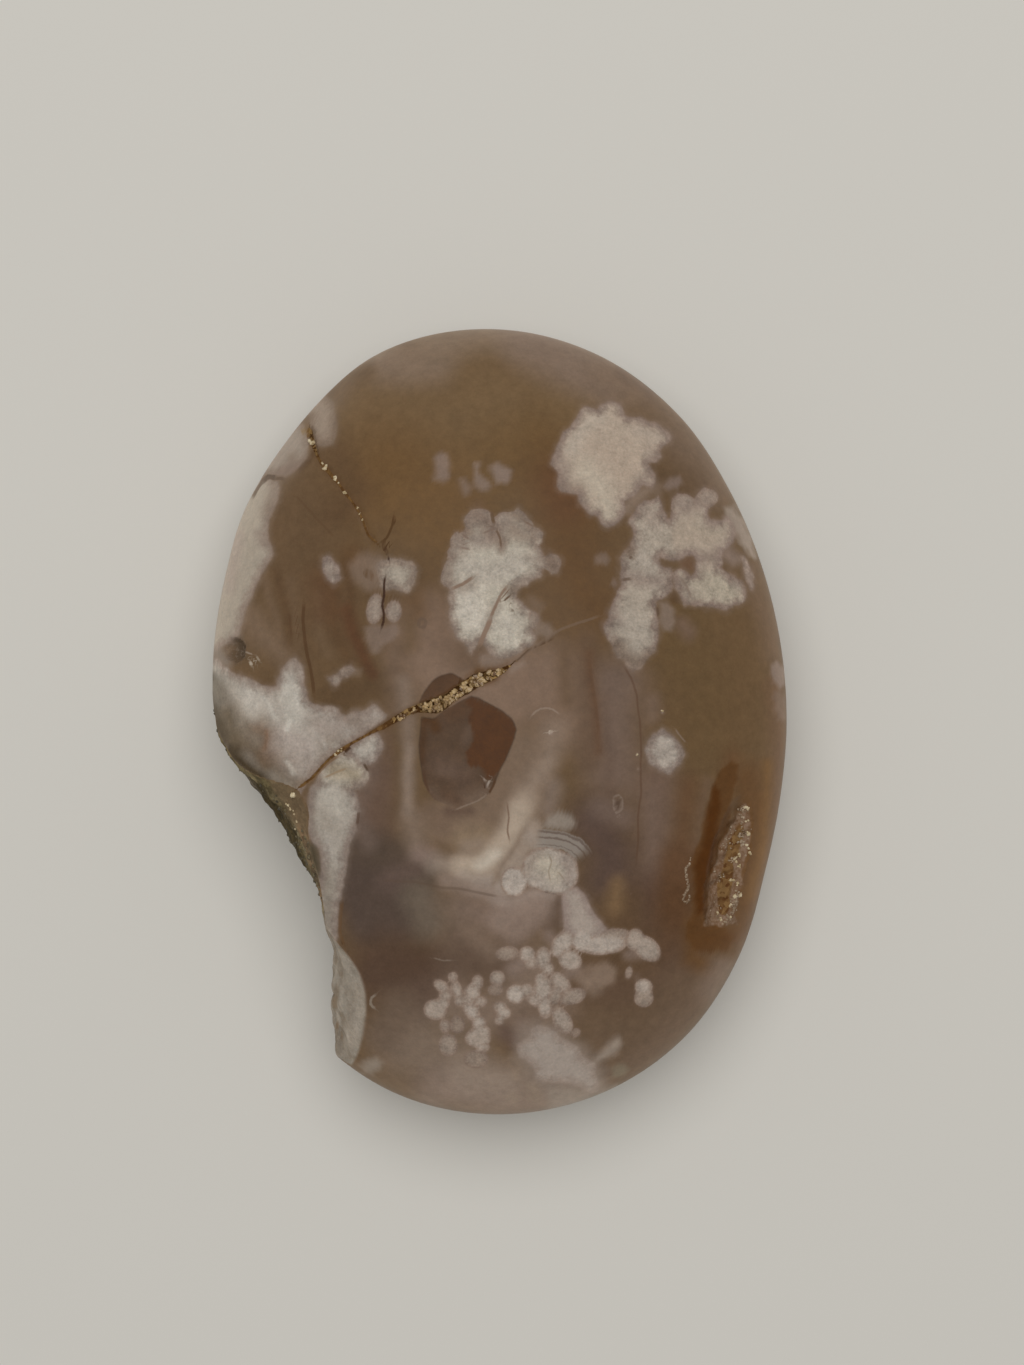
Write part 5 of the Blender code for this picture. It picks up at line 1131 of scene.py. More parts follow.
def layHairLines(points, seen, fine, below):
    # For each point the nearest crisp line: how far it is and on which side, half width, share and tone.
    lineSide, lineHalf, lineShow = np.full(len(points), 2.0), np.full(len(points), .1), np.zeros(len(points))
    lineTone, nearest = flood(points, "line"), np.full(len(points), 9.0)
    for tone, strength, half, line in hairLines:
        line = pairs(line)
        near = np.where(np.all((seen > line.min(0) - 1) & (seen < line.max(0) + 1), axis=1) & ~below)[0]
        gap, side, _, way = alongLine(seen[near] + fine[near] * .35, np.c_[line, np.zeros(len(line))])
        closer = gap < nearest[near]
        pick = near[closer]
        nearest[pick] = gap[closer]
        lineSide[pick] = side[closer]
        lineHalf[pick] = half
        lineTone[pick] = paintFrom(*tone)
        ends = smoothStep(0, .06, way) * smoothStep(0, .06, 1 - way)
        shown = strength * (1 - smoothStep(half + .25, half + .6, gap)) * (.25 + .75 * ends)
        lineShow[pick] = shown[closer]
    return lineSide, lineHalf, lineShow, lineTone


def layVeins(stone):
    # The same for the open veins, which lie on the mesh's own places.
    points = stone["points"]
    veinSide, veinHalf, veinShow = np.full(len(points), 2.0), np.full(len(points), .1), np.zeros(len(points))
    nearest = np.full(len(points), 9.0)
    for name, share in (("mainVein", 1), ("upperVein", .55)):
        gap, side, half, _ = alongLine(points[:, :2], pairs(openings[name], 3))
        half = half * share
        closer = stone["upper"] & (gap < nearest) & (gap < 1.6)
        nearest[closer] = gap[closer]
        veinSide[closer] = side[closer]
        veinHalf[closer] = half[closer]
        veinShow[closer] = (1 - smoothStep(half + .4, half + .9, gap))[closer]
    return veinSide, veinHalf, veinShow


def layWall(stone, zone, fine):
    # The rough wall: a dark olive rind above, with painted shadow where it drops under the rim, and
    # grey-cream rock below it and towards the low end.
    points, seen, push, drop = stone["points"], stone["seen"], stone["push"], stone["drop"]
    y, z = points[:, 1], points[:, 2]
    patch = drift(points, 2.2, 61) + .6 * drift(points, .8, 62)
    rind = flood(points, "rind")
    mixIn(rind, smoothStep(-.3, .5, patch), "rindDark")
    mixIn(rind, smoothStep(.1, .8, drift(points, 1, 63)) * .7, "rindPale")
    brown = smoothStep(-4.4, -7, y + .5 * patch) * smoothStep(1.8, .9, drop + .5 * patch)
    mixIn(rind, brown * .85, "rindBrown")
    # painted shadow: the rind darkens as the wall drops under the polished rim
    mixIn(rind, smoothStep(1.7, 3.2, drop) * .8, "rindShadow")
    lip = smoothStep(-.35, .3, insideBy(seen + fine, hollowLipOutline))
    mixIn(rind, lip * .85, "rindLip")
    layStrokes(rind, seen, rindStrokes)
    rock = flood(points, "rock")
    mixIn(rock, smoothStep(.2, .8, drift(points, 1.3, 64)) * smoothStep(2, 5, drop) * .8, "rockTan")
    mixIn(rock, smoothStep(-.3, .6, drift(points, 1.1, 66)) * .5, "rockPale")
    mixIn(rock, smoothStep(.1, .7, drift(points, .7, 68)) * .6, "rockBrown")
    layStrokes(rock, seen, rockStrokes)
    lowEnd = smoothStep(-12.8, -18.2, y + 1.6 * drift(points, 1.6, 67))
    deep = smoothStep(12, 6, z + 1.5 * patch) * (.5 + .5 * zone)
    rind += np.clip(lowEnd + deep * .8, 0, 1)[:, None] * (rock - rind)
    soft = smoothStep(0, 4, push)  # the wall's border grows softer down the side
    border = smoothStep(.1 + .7 * soft, 0, stone["wallGap"] + .3 * patch * soft)
    rough = np.where(stone["upper"], stone["onWall"], border) * smoothStep(.02, .35, drop)
    return rind, rough, rough * (1 - .8 * lowEnd) * (1 - .6 * lip)


def lightTerms(stone):
    # Painted light: the paint is made brighter where the face turns from the lamp, to cancel its shade
    # there, less so under the waist, and darker in a painted line along the silhouette. Haze: the lamp's
    # soft reflection, brightest where the face turns half-way to it, which is taken off the paint.
    normals, push = stone["normals"], stone["push"]
    lamp = np.array(studio["keyPlace"]) / np.linalg.norm(studio["keyPlace"])
    facing = .3 * (.5 + .5 * normals[:, 2]) + .7 * np.clip(normals @ lamp, 0, 1)
    paintedLight = np.clip(1 / (.2 + .8 * facing / (.3 + .7 * lamp[2])), 1, 1.75)
    paintedLight = np.where(push > 0, 1 + (paintedLight - 1) * smoothStep(8, 0, push), paintedLight)
    # painted shade: a thin dark band where the face turns edge-on at the silhouette
    paintedLight *= 1 - .22 * smoothStep(.24, .04, np.abs(normals[:, 2])) * smoothStep(4, 1, push)
    mirror = 2 * normals[:, 2:] * normals - [0, 0, 1]
    haze = studio["haze"] * np.exp(-(1 - np.clip(mirror @ lamp, -1, 1)) / .16)
    return paintedLight[:, None], haze[:, None] / studio["litGain"]


def markStone(stone):
    # Every mesh point's tones and mark values; sway and fine shift the drawn places by smooth noise.
    points, seen, push, upper = stone["points"], stone["seen"], stone["push"], stone["upper"]
    below = push > 0
    sway = np.stack([drift(points, 3.5, 21), drift(points, 3.5, 22)], 1) * .45
    fine = np.stack([drift(points, 1.1, 23), drift(points, 1.1, 24)], 1) * .16
    zone = smoothStep(-.35, .5, drift(points, 9, 31) + .35 * drift(points, 3, 32))
    body = layBody(points, seen, push, zone, sway, fine)
    bloom, heart, edge, speckle, ragged = layFlowers(points, seen, push, sway, fine)
    window, inside = layWindow(points, seen, fine)
    lineSide, lineHalf, lineShow, lineTone = layHairLines(points, seen, fine, below)
    gap, arcSide, _, way = alongLine(seen + fine * .3, np.c_[pairs(greyArc), np.zeros(len(greyArc) // 2)])
    arcShow = smoothStep(.02, .18, way) * smoothStep(0, .25, 1 - way) * smoothStep(1.1, .8, gap)
    veinSide, veinHalf, veinShow = layVeins(stone)
    veinGold = (smoothStep(-9, -8, points[:, 0]) * smoothStep(12, 10, points[:, 1])
                + smoothStep(20.5, 22, points[:, 1]) * .7)
    gap, _, half, _ = alongLine(seen + fine * .3, pairs(fissure, 3))
    rind, rough, coarse = layWall(stone, zone, fine)
    body += rough[:, None] * (rind - body)
    paintedLight, haze = lightTerms(stone)
    tones = {"bodyTone": body, "heartTone": heart, "edgeTone": edge, "windowTone": inside,
             "lineTone": lineTone}
    # painted light: tones brightened where the face turns from the lamp and darkened at the silhouette, less
    # the lamp's reflection
    tones = {name: np.clip(np.maximum(tone * paintedLight - haze, tone * .12), 0, .95)
             for name, tone in tones.items()}
    marks = {
        "bloom": np.minimum(bloom, 1.2 - 4.8 * rough), "speckle": speckle, "ragged": ragged,
        "window": window, "windowRim": .22 * smoothStep(-6.2, -4.6, seen[:, 1]),
        "lineSide": lineSide, "lineHalf": lineHalf, "lineShow": lineShow,
        "arcSide": np.where(below, 3, arcSide), "arcShow": arcShow,
        "veinSide": veinSide, "veinHalf": veinHalf, "veinShow": veinShow, "veinGold": veinGold,
        "slit": np.where(upper, insideBy(seen + fine * .5, slitEdge), -6),
        "inner": np.where(upper, insideBy(seen + fine * .6, slitInner), -6),
        "crack": np.where(upper, half - gap, -3),
        "rough": rough, "coarse": coarse, "pit": 1 - stone["pitShare"],
    }
    return tones, marks


tones, marks = markStone(stone)
print("markings laid:", len(flowers), "crisp flowers,", len(ghosts), "blurred,", len(hairLines), "lines")


class Wire:
    # One output of a node tree; sums and products on it add Math nodes.
    def __init__(self, tree, socket=None):
        self.tree, self.socket = tree, socket

    def node(self, kind, settings=None, sockets=None, out=0):
        made = self.tree.nodes.new("ShaderNode" + kind)
        for name, value in (settings or {}).items():
            setattr(made, name, value)
        for key, value in (sockets or {}).items():
            if isinstance(value, Wire):
                self.tree.links.new(value.socket, made.inputs[key])
            else:
                made.inputs[key].default_value = value
        return Wire(self.tree, made.outputs[out])

    def math(self, operation, first, second=0.0):
        return self.node("Math", {"operation": operation}, {0: first, 1: second})

    def __add__(self, other):
        return self.math("ADD", self, other)

    def __radd__(self, other):
        return self.math("ADD", other, self)

    def __sub__(self, other):
        return self.math("SUBTRACT", self, other)

    def __rsub__(self, other):
        return self.math("SUBTRACT", other, self)

    def __mul__(self, other):
        return self.math("MULTIPLY", self, other)

    def __rmul__(self, other):
        return self.math("MULTIPLY", other, self)

    def __truediv__(self, other):
        return self.math("DIVIDE", self, other)

    def __abs__(self):
        return self.math("ABSOLUTE", self)

    def step(self, low, high):
        # Smooth step: 0 at low, 1 at high.
        return self.node("MapRange", {"interpolation_type": "SMOOTHSTEP"},
                         {"Value": self, "From Min": low, "From Max": high})

    def most(self, other):
        return self.math("MAXIMUM", self, other)

    def blend(self, first, second, share):
        # Colour mix: first where share is 0, second where it is 1.
        tint = [tuple(k) + (1,) if isinstance(k, (tuple, list, np.ndarray)) and len(k) == 3 else k
                for k in (first, second)]
        return self.node("Mix", {"data_type": "RGBA"}, {0: share, 6: tint[0], 7: tint[1]}, 2)

    def shade(self, colour, factor):
        # Colour times a number.
        grey = self.node("CombineColor", None, {0: factor, 1: factor, 2: factor})
        return self.node("Mix", {"data_type": "RGBA", "blend_type": "MULTIPLY"},
                         {0: 1.0, 6: colour, 7: grey}, 2)

    def value(self, name):
        return self.node("Attribute", {"attribute_name": name}, None, "Fac")

    def tone(self, name):
        return self.node("Attribute", {"attribute_name": name}, None, "Color")

    def noise(self, place, size, detail=2.0, roughness=.5):
        # Noise about 0..1 with features of this size in millimetres.
        return self.node("TexNoise", None, {"Vector": place, "Scale": 1 / (size * mm),
                                            "Detail": detail, "Roughness": roughness})

    def cells(self, place, size, feature="F1", out="Distance", smooth=None):
        settings = {"feature": feature}
        sockets = {"Vector": place, "Scale": 1 / (size * mm)}
        if smooth is not None:
            sockets["Smoothness"] = smooth
        return self.node("TexVoronoi", settings, sockets, out)


def newFinish(name):
    finish = bpy.data.materials.new(name)
    finish.use_nodes = True
    shader = finish.node_tree.nodes["Principled BSDF"]
    return finish, shader, Wire(finish.node_tree)


agateLook = {
    "ior": 1.54,
    "specular": 0.12,
    "polishRoughness": 0.42,
    "wallRoughness": 0.85,
    "glow": 0.06,  # share of light that goes through the skin of the stone
    "glowReach": 0.9,
    "petalSize": 0.95,
    "petalDepth": 0.26,
    "spread": 0.02,  # how far the flowers run past their drawn edge, in millimetres
    "mottle": 1.05,
    "veil": 0.22,  # pale haze round the flowers, from their parts under the skin
    # sizes of the noises and cells, in millimetres
    "broadSize": 2.4, "middleSize": .7, "grainSize": .17, "clothSize": .8, "foldSize": .5, "mottleSize": .24,
    "facetSize": .3, "glintSize": .38, "crumbSize": .45, "fineCrumbSize": .2,
}
agateTones = {
    "speck": (112, 94, 82), "arcPale": (139, 130, 121), "arcDark": (94, 80, 73),
    "skinDark": (102, 75, 52), "skinPale": (136, 114, 96),
    "liningRust": (84, 54, 30), "liningTan": (122, 94, 60),
    "crustDark": (118, 98, 76), "crustPale": (160, 146, 126),
    "fillingDark": (82, 56, 32), "fillingPale": (112, 84, 50),
    "goldDark": (66, 42, 20), "goldPale": (146, 118, 76),
    "veinRim": (62, 42, 24), "veinHalo": (94, 68, 46),
    "pitDark": (84, 70, 56), "pitPale": (112, 98, 84),
}


def paint(name):
    return tuple(paintFrom(*agateTones[name]))


def agateFinish():
    look = agateLook
    finish, shader, web = newFinish("flowerAgate")
    place = web.node("TexCoord", None, None, "Object")
    broad = web.noise(place, look["broadSize"], 3, .55)
    middle = web.noise(place, look["middleSize"], 3, .6)
    grain = web.noise(place, look["grainSize"], 2, .6)
    cloth = web.noise(place, look["clothSize"], 5, .74)
    # body: drifting tones with a faint fine grain
    body = web.shade(web.tone("bodyTone"), .5 + broad * .24 + cloth * .56 + grain * .2)
    # window
    window = web.value("window") + (middle - .5) * .12
    inside = web.shade(web.tone("windowTone"), .35 + broad * .2 + cloth * .8 + grain * .3)
    colour = web.blend(body, inside, window.step(-.08, .08))
    rimDark = (1 - abs(window).step(.0, .14)) * web.value("windowRim")
    colour = web.shade(colour, 1 - rimDark)
    # flowers: rounded petals along the edge, paler and mottled inside
    ragged = web.value("ragged")
    petal = web.cells(place, look["petalSize"], "SMOOTH_F1", smooth=.25)
    bulge = (.45 - petal) * look["petalDepth"]
    fold = web.noise(place, look["foldSize"], 3, .6)
    depth = web.value("bloom") + look["spread"] + ragged * (bulge + (fold - .5) * .22) + (grain - .5) * .06
    veil = (depth + (middle - .5) * .5).step(-.5, .05) * look["veil"]
    colour = web.blend(colour, web.tone("edgeTone"), veil)
    cover = depth.step(-.14, .18)
    mottle = web.noise(place, look["mottleSize"], 2, .6)
    inward = (depth + ragged * bulge * 1.2 + (fold - .5) * .8 + (mottle - .5) * .3).step(.04, .92)
    flower = web.blend(web.tone("edgeTone"), web.tone("heartTone"), inward)
    rimZone = (1 - depth.step(.4, 1.5)) * ragged
    grit = (cloth - .5) * look["mottle"] + (mottle - .5) * .42 + (grain - .5) * .5
    flower = web.shade(flower, .98 + grit * web.value("speckle") - (petal - .3) * rimZone * .3)
    seam = web.cells(place, look["petalSize"], "DISTANCE_TO_EDGE").step(.0, .2)
    crease = (1 - seam) * rimZone * fold.step(.4, .65)
    speck = mottle.step(.66, .76) * .4
    flower = web.blend(flower, paint("speck"), (crease * .22).most(speck * fold.step(.45, .6)))
    colour = web.blend(colour, flower, cover)
    # hairlines
    line = web.value("lineHalf") - abs(web.value("lineSide")) + (grain - .5) * .1
    line = line.step(-.06, .05) * web.value("lineShow")
    colour = web.blend(colour, web.tone("lineTone"), line)
    arc = web.value("arcSide") + (fold - .5) * .35 + (grain - .5) * .12
    banded = (1 - abs(arc - .62).step(.03, .17)).most(1 - abs(arc - .14).step(.0, .14))
    banded = banded.most((1 - abs(arc + .46).step(.0, .09)) * .7)
    band = web.blend(paint("arcPale"), paint("arcDark"), banded * .8)
    colour = web.blend(colour, band, (1 - abs(arc - .05).step(.65, .85)) * web.value("arcShow") * .8)
    # slit: a pinkish translucent skin round a tan and rusty lining, with a pale crust on the fissure
    slit = web.value("slit") + (middle - .5) * .25
    inner = web.value("inner") + (middle - .5) * .3
    facets = web.cells(place, look["facetSize"], "F1", "Color")
    facetValue = web.node("SeparateColor", None, {0: facets}, 0)
    skin = web.blend(paint("skinDark"), paint("skinPale"), (fold * .9 + mottle * .6 - .4).step(.1, .6))
    colour = web.blend(colour, skin, slit.step(-.12, .1) * .85)
    tan = (facetValue * .5 + middle * .5).step(.15, .75)
    lining = web.blend(paint("liningRust"), paint("liningTan"), tan)
    colour = web.blend(colour, lining, inner.step(-.1, .1))
    crust = (web.value("crack") + (grain - .5) * .1).step(-.05, .04)
    crustTone = web.blend(paint("crustDark"), paint("crustPale"), facetValue)
    colour = web.blend(colour, crustTone, crust * .55)
    # veins: dark brown filling, with golden grains in the middle one
    across = abs(web.value("veinSide"))
    half = web.value("veinHalf")
    vein = (half * 1.1 - across + (grain - .5) * .12).step(-.05, .05) * web.value("veinShow")
    halo = (half * 1.2 + .2 - across).step(-.18, .2) * web.value("veinShow") * .22
    filling = web.blend(paint("fillingDark"), paint("fillingPale"), facetValue)
    golden = web.blend(paint("goldDark"), paint("goldPale"), facetValue.step(.35, .9))
    filling = web.blend(filling, golden, web.value("veinGold"))
    rimLine = (across - half * .8).step(0, .12)
    filling = web.blend(filling, paint("veinRim"), rimLine * .8)
    colour = web.blend(colour, paint("veinHalo"), halo)
    colour = web.blend(colour, filling, vein)
    # pit
    pit = (web.value("pit") + (middle - .5) * 1.4 + (mottle - .5) * .5).step(-.45, .6)
    pitTone = web.blend(paint("pitDark"), paint("pitPale"), mottle.step(.5, .7))
    colour = web.blend(colour, pitTone, pit * .85)
    # rough wall: crystalline speckle, cells made lighter or darker at random as painted glints and shade of
    # the facets, over a fine grain
    rough = web.value("rough")
    coarse = web.value("coarse")
    glint = web.cells(place, look["glintSize"], "F1", "Color")
    glintValue = web.node("SeparateColor", None, {0: glint}, 1)
    colour = web.shade(colour, 1 + coarse * (glintValue * .7 - .35) + rough * (grain - .5) * .3)
    web.tree.links.new(colour.socket, shader.inputs["Base Color"])
    # finish
    dull = rough.most(inner.step(-.1, .1)).most(vein).most(crust)
    gloss = look["polishRoughness"] + cover * .06 + (middle - .5) * .07 + (grain - .5) * .05
    roughness = gloss + dull * (look["wallRoughness"] - look["polishRoughness"])
    web.tree.links.new(roughness.socket, shader.inputs["Roughness"])
    crumb = web.cells(place, look["crumbSize"], "F1")
    fineCrumb = web.cells(place, look["fineCrumbSize"], "F1")
    relief = coarse.most(dull * .3) * (crumb * .12 + fineCrumb * .06)
    relief = relief + (broad * .02 + middle * .004 + grain * .0006) + cover * .006
    bump = web.node("Bump", None, {"Strength": 1.0, "Distance": mm, "Height": relief})
    web.tree.links.new(bump.socket, shader.inputs["Normal"])
    shader.inputs["IOR"].default_value = look["ior"]
    shader.inputs["Specular IOR Level"].default_value = look["specular"]
    shader.inputs["Subsurface Weight"].default_value = look["glow"]
    shader.inputs["Subsurface Radius"].default_value = (1.0, .6, .4)
    shader.inputs["Subsurface Scale"].default_value = look["glowReach"] * mm
    return finish


def grainFinish(name, darkTone, paleTone, roughness):
    # Small crystals: each facet group leans to one of two tones, with a fine grain and a waxy shine.
    finish, shader, web = newFinish(name)
    place = web.node("TexCoord", None, None, "Object")
    each = web.node("SeparateColor", None, {0: web.cells(place, .4, "F1", "Color")}, 0)
    grain = web.noise(place, .12, 2, .6)
    lean = (each * .8 + grain * .4 - .1).step(0, 1)
    tone = web.blend(tuple(paintFrom(*darkTone)), tuple(paintFrom(*paleTone)), lean)
    web.tree.links.new(tone.socket, shader.inputs["Base Color"])
    web.tree.links.new((roughness + grain * .2).socket, shader.inputs["Roughness"])
    bump = web.node("Bump", None, {"Strength": .6, "Distance": mm, "Height": grain * .03})
    web.tree.links.new(bump.socket, shader.inputs["Normal"])
    shader.inputs["IOR"].default_value = 1.54
    return finish


def newPiece(name, points, faces, finish, smooth):
    mesh = bpy.data.meshes.new(name)
    mesh.from_pydata((points * mm).tolist(), [], faces)
    mesh.polygons.foreach_set("use_smooth", np.full(len(mesh.polygons), smooth))
    mesh.materials.append(finish)
    piece = bpy.data.objects.new(name, mesh)
    bpy.context.scene.collection.objects.link(piece)
    return piece


agate = agateFinish()
stonePiece = newPiece("agateStone", stone["points"], stone["faces"], agate, True)
stoneMesh = stonePiece.data
for name, value in marks.items():
    stoneMesh.attributes.new(name, "FLOAT", "POINT").data.foreach_set("value", value.astype(np.float32))
for name, value in tones.items():
    filled = np.c_[value, np.ones(len(value))].astype(np.float32)
    stoneMesh.attributes.new(name, "FLOAT_COLOR", "POINT").data.foreach_set("color", filled.ravel())
stoneMesh.set_sharp_from_angle(angle=math.radians(42))
print("stone meshed:", len(stoneMesh.polygons), "faces")


crystalShape = {
    "mainVein": {"count": 190, "size": (.1, .25), "tones": ((86, 58, 32), (174, 148, 106))},
    "slit": {"count": 240, "inside": 50, "fissure": 70, "size": (.06, .15),
             "tones": ((108, 84, 60), (156, 138, 116))},
    "rind": {"count": 200, "size": (.1, .22), "tones": ((54, 46, 30), (108, 97, 70))},
    "beads": {"size": (.14, .22), "tones": ((158, 138, 102), (198, 184, 154))},
}
# single pale crystals, in picture millimetres: x, y, radius
brightBeads = [-15.5, 22.95, .33, -14.35, 20.9, .3, -13.8, 20.2, .28, -12.9, 19, .22, -11.6, 17.3, .13,
    -11.85, 17.8, .12, -11.4, 16.6, .1, -13.45, 19.8, .15, -14.7, 21.3, .14,
               -13.35, -2.45, .22, -13.7, -2.75, .14, -17.15, -6.2, .22, -17.6, -6.9, .15, -17.2, -7.6, .2,
                   -16.9, -8.3, .16,
               -17.5, -7.3, .12, -16.9, -9, .12, 20.35, -7.1, .2, 20.6, -7.25, .14, 20.45, -8.3, .14,
                   20.5, -9.3, .2, 20.55, -10.5, .19, 20.7, -10.9, .15, 19.6, -11.35, .15, 19.85, -11.1, .16,
                   19.9, -12.1, .2, 19.2, -13.15, .15, 18.1, -16.1, .13, 18.4, -16.5, .15, 19.3, -15.3, .15,
                   19.7, -11.7, .14, 19.35, -13.3, .16, 19.7, -13.45, .17, 19.55, -14.5, .24,
                   19.2, -16.2, .16,
               13.5, .78, .1, 11.42, -2.8, .11]


def crystalMesh(name, centres, sizes, finish, seed):
    # Each crystal is a twenty-faced ball with its twelve corners pushed in or out and its height stretched.
    golden = (1 + 5 ** .5) / 2
    corners = np.array([(0, a, b * golden) for a in (-1, 1) for b in (-1, 1)], float)
    corners = np.concatenate([corners, corners[:, [2, 0, 1]], corners[:, [1, 2, 0]]])
    corners /= np.linalg.norm(corners[0])
    gaps = np.linalg.norm(corners[:, None] - corners[None], axis=-1)
    joined = (gaps > 0) & (gaps < gaps[gaps > 0].min() * 1.1)
    tris = [(i, j, k) for i in range(12) for j in range(i + 1, 12) for k in range(j + 1, 12)
            if joined[i, j] and joined[j, k] and joined[i, k]]

    def facesOut(a, b, c):
        return np.dot(np.cross(b - a, c - a), a) > 0

    tris = [t if facesOut(*corners[list(t)]) else (t[0], t[2], t[1]) for t in tris]
    chance = np.random.default_rng(seed)
    count = len(centres)
    shape = corners[None] * chance.uniform(.68, 1.12, (count, 12, 1))
    shape = shape * chance.uniform(.7, 1.25, (count, 1, 3))
    turn = np.linalg.qr(chance.normal(size=(count, 3, 3)))[0]
    turn *= np.sign(np.linalg.det(turn))[:, None, None]
    shape = np.einsum("nij,nkj->nki", turn, shape) * sizes[:, None, None] + centres[:, None]
    shape = np.clip(shape, np.array(cadLow) / mm + .01, np.array(cadHigh) / mm - .01)
    faces = (np.array(tris)[None] + 12 * np.arange(count)[:, None, None]).reshape(-1, 3)
    return newPiece(name, shape.reshape(-1, 3), faces.tolist(), finish, False)


def onFace(x, y):
    return np.stack([x, y, faceHeight(x, y)], -1)


def veinCentres(line, count, seed, wayFrom=0.0, wayTo=1.0):
    # Places spread along an open vein, more of them where it is wide.
    chance = np.random.default_rng(seed)
    steps = np.diff(line[:, :2], axis=0)
    run = np.concatenate([[0], np.cumsum(np.linalg.norm(steps, axis=1))])
    at = np.linspace(wayFrom, wayTo, 400) * run[-1]
    half = np.interp(at, run, line[:, 2])
    heap = np.cumsum(half ** 1.5)
    at = np.interp(chance.uniform(0, heap[-1], count), heap, at)
    x, y, half = [np.interp(at, run, line[:, k]) for k in range(3)]
    slope = np.arctan2(np.interp(at, run[:-1], steps[:, 1]), np.interp(at, run[:-1], steps[:, 0]))
    off = chance.uniform(-1, 1, count) * half * .85
    return x - np.sin(slope) * off, y + np.cos(slope) * off, half, off / half


def fromPicture(picture):
    # Picture places back to the face: the height is found by four rounds of the camera's ratio.
    cx, cy, top = studio["cameraPlace"]
    flat = picture.copy()
    for _ in range(4):
        high = faceHeight(flat[:, 0], flat[:, 1])
        flat = np.array([cx, cy]) + (picture - [cx, cy]) * ((top - high) / (top - 10))[:, None]
    return flat


def growVein(chance):
    # Golden grains in the middle vein, shrunk to nothing at its brown places.
    shape = crystalShape["mainVein"]
    x, y, half, off = veinCentres(pairs(openings["mainVein"], 3), shape["count"], 1, .5, 1)
    sizes = np.minimum(chance.uniform(*shape["size"], len(x)), half * .8)
    sizes *= smoothStep(.12, .35, np.hypot(x + 1.1, y - 3.7)) * smoothStep(.75, .3, x)
    sink = half * .55 * (1 - off ** 2) * chance.uniform(.2, 1, len(x))
    centres = onFace(x, y) - faceNormal(x, y) * sink[:, None]
    gold = grainFinish("goldenCrystal", *shape["tones"], .3)
    return crystalMesh("mainVeinCrystals", centres, sizes, gold, 2)


def growDruse(chance):
    # Along the slit's crust, then inside the slit, then along the fissure.
    shape = crystalShape["slit"]
    edge = pairs(slitCrust)
    run = np.concatenate([[0], np.cumsum(np.linalg.norm(np.diff(edge, axis=0), axis=1))])
    at = chance.uniform(0, run[-1], shape["count"])
    picture = np.stack([np.interp(at, run, edge[:, k]) for k in range(2)], 1)
    picture = picture + chance.normal(0, .13, (len(at), 2))
    fill = np.stack([chance.uniform(17.9, 20.4, 300), chance.uniform(-16.4, -8, 300)], 1)
    fill = fill[insideBy(fill, slitInner) > .1][:shape["inside"]]
    gapX, gapY, _, _ = veinCentres(pairs(fissure, 3), shape["fissure"], 9)
    picture = np.concatenate([picture, fill, np.stack([gapX, gapY], 1)])
    flat = fromPicture(picture)
    centres = onFace(flat[:, 0], flat[:, 1])
    sink, _ = pocketDepth(centres, openings["slitMiddle"], openings["slitHalves"], openings["slitLean"])
    sizes = chance.uniform(*shape["size"], len(centres))
    sizes[-(shape["inside"] + shape["fissure"]):] *= .75
    centres -= faceNormal(flat[:, 0], flat[:, 1]) * (sink * .85 + sizes * .3)[:, None]
    druse = grainFinish("druseCrystal", *shape["tones"], .35)
    return crystalMesh("slitCrystals", centres, sizes, druse, 5)


def growRind(chance):
    # Grains on mesh points of the rough wall.
    shape = crystalShape["rind"]
    spots = np.where((marks["coarse"] > .6) & (stone["points"][:, 2] > 4))[0]
    pick = chance.choice(spots, shape["count"], replace=False)
    sizes = chance.uniform(*shape["size"], len(pick))
    centres = stone["points"][pick] - stone["normals"][pick] * (sizes * .3)[:, None]
    rindGrain = grainFinish("rindCrystal", *shape["tones"], .45)
    return crystalMesh("rindCrystals", centres, sizes, rindGrain, 6)


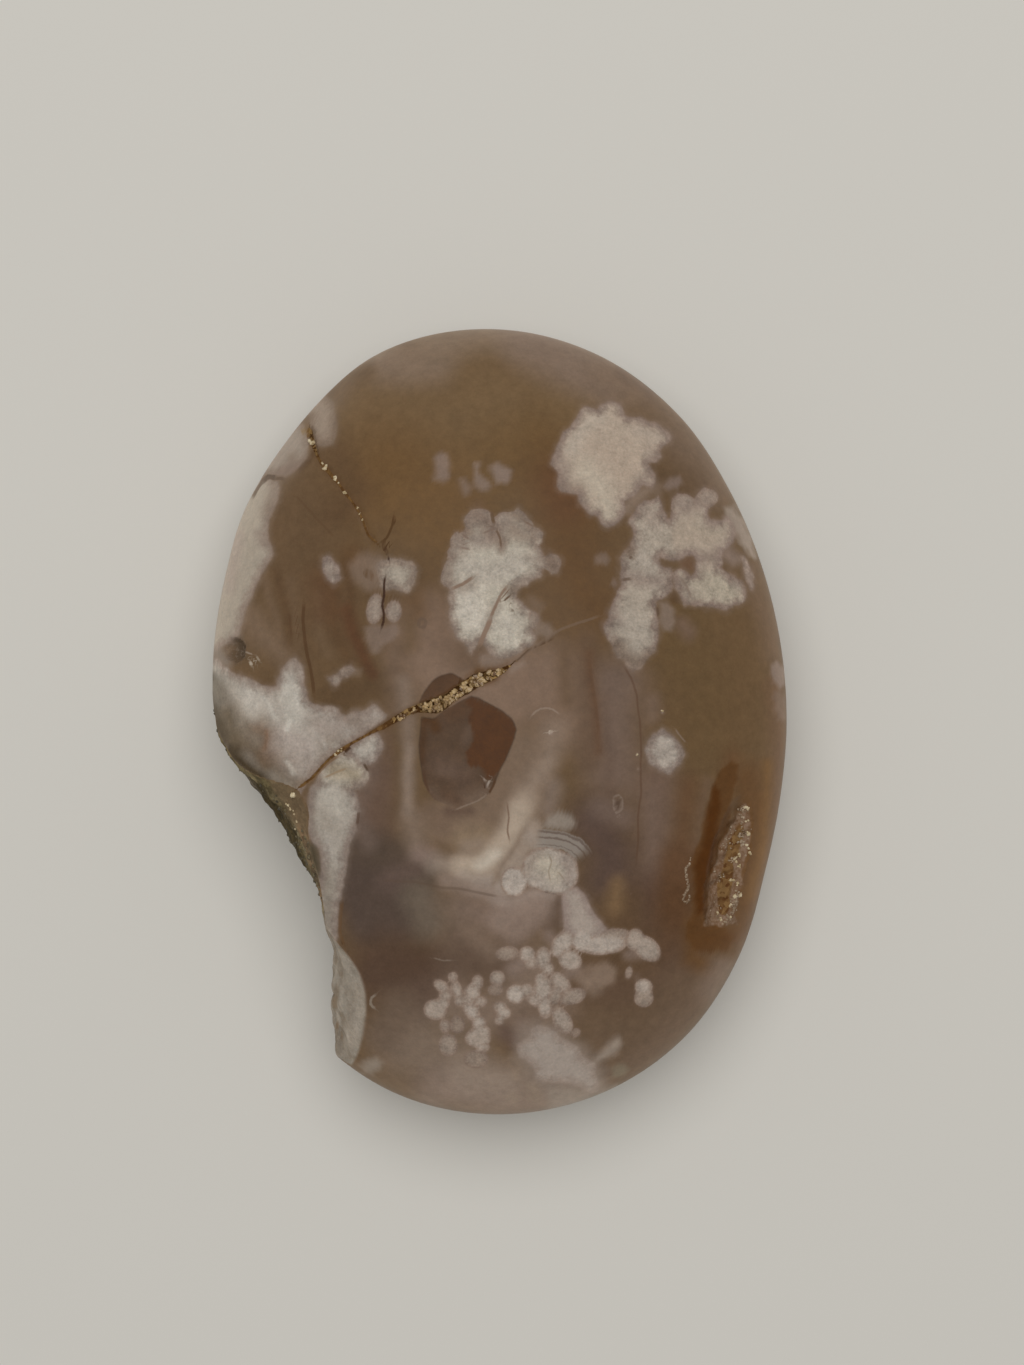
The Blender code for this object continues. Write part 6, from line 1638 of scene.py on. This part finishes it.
def growBeads(chance):
    # Each pale crystal is a knot of three grains, set on the mesh point seen nearest to its place.
    shape = crystalShape["beads"]
    beads = pairs(brightBeads, 3)
    upperSeen = np.where(stone["upper"][:, None], stone["seen"], 99)
    near = np.array([np.argmin(((upperSeen - spot[:2]) ** 2).sum(1)) for spot in beads]).repeat(3)
    spread = beads[:, 2].repeat(3)
    sizes = spread * chance.uniform(.6, 1, len(near))
    centres = stone["points"][near] + chance.normal(0, .5, (len(near), 3)) * spread[:, None] * [1, 1, .2]
    beadGrain = grainFinish("paleCrystal", *shape["tones"], .35)
    return crystalMesh("brightCrystals", centres, sizes, beadGrain, 8)


chance = np.random.default_rng(7)  # shared, so the four sets are grown in this order
crystals = [growVein(chance), growDruse(chance), growRind(chance), growBeads(chance)]

for piece in [stonePiece] + crystals:
    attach(piece, "root")
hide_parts("flower_agate_palm_stone")
print("crystals set:", sum(len(piece.data.polygons) for piece in crystals), "facets")


def setStudio():
    scene = bpy.context.scene
    scene.view_settings.view_transform = "Standard"
    world = bpy.data.worlds.new("softRoom")
    world.use_nodes = True
    sky = world.node_tree.nodes["Background"]
    sky.inputs["Color"].default_value = (*studio["skyTone"], 1)
    sky.inputs["Strength"].default_value = studio["skyStrength"]
    scene.world = world
    paper = bpy.data.materials.new("paleFloor")
    paper.use_nodes = True
    shader = paper.node_tree.nodes["Principled BSDF"]
    shader.inputs["Base Color"].default_value = (*studio["floorTone"], 1)
    shader.inputs["Roughness"].default_value = .9
    shader.inputs["Specular IOR Level"].default_value = .1
    wide = 900 * mm
    mesh = bpy.data.meshes.new("floor")
    corners = [(-wide, -wide, 0), (wide, -wide, 0), (wide, wide, 0), (-wide, wide, 0)]
    mesh.from_pydata(corners, [], [(0, 1, 2, 3)])
    mesh.materials.append(paper)
    floor = bpy.data.objects.new("floor", mesh)
    scene.collection.objects.link(floor)
    lamp = bpy.data.lights.new("softLamp", "AREA")
    lamp.shape, lamp.size, lamp.energy = "DISK", studio["keyWide"] * mm, studio["keyWatts"]
    held = bpy.data.objects.new("softLamp", lamp)
    held.location = [k * mm for k in studio["keyPlace"]]
    held.rotation_mode = "QUATERNION"
    held.rotation_quaternion = held.location.to_track_quat("Z", "Y")
    scene.collection.objects.link(held)
    lens = bpy.data.cameras.new("camera")
    lens.sensor_fit, lens.sensor_height, lens.sensor_width = "VERTICAL", 36, 36
    lens.lens = studio["lens"]
    lens.clip_start, lens.clip_end = .01, 10
    camera = bpy.data.objects.new("camera", lens)
    camera.location = [k * mm for k in studio["cameraPlace"]]
    scene.collection.objects.link(camera)
    scene.camera = camera


setStudio()
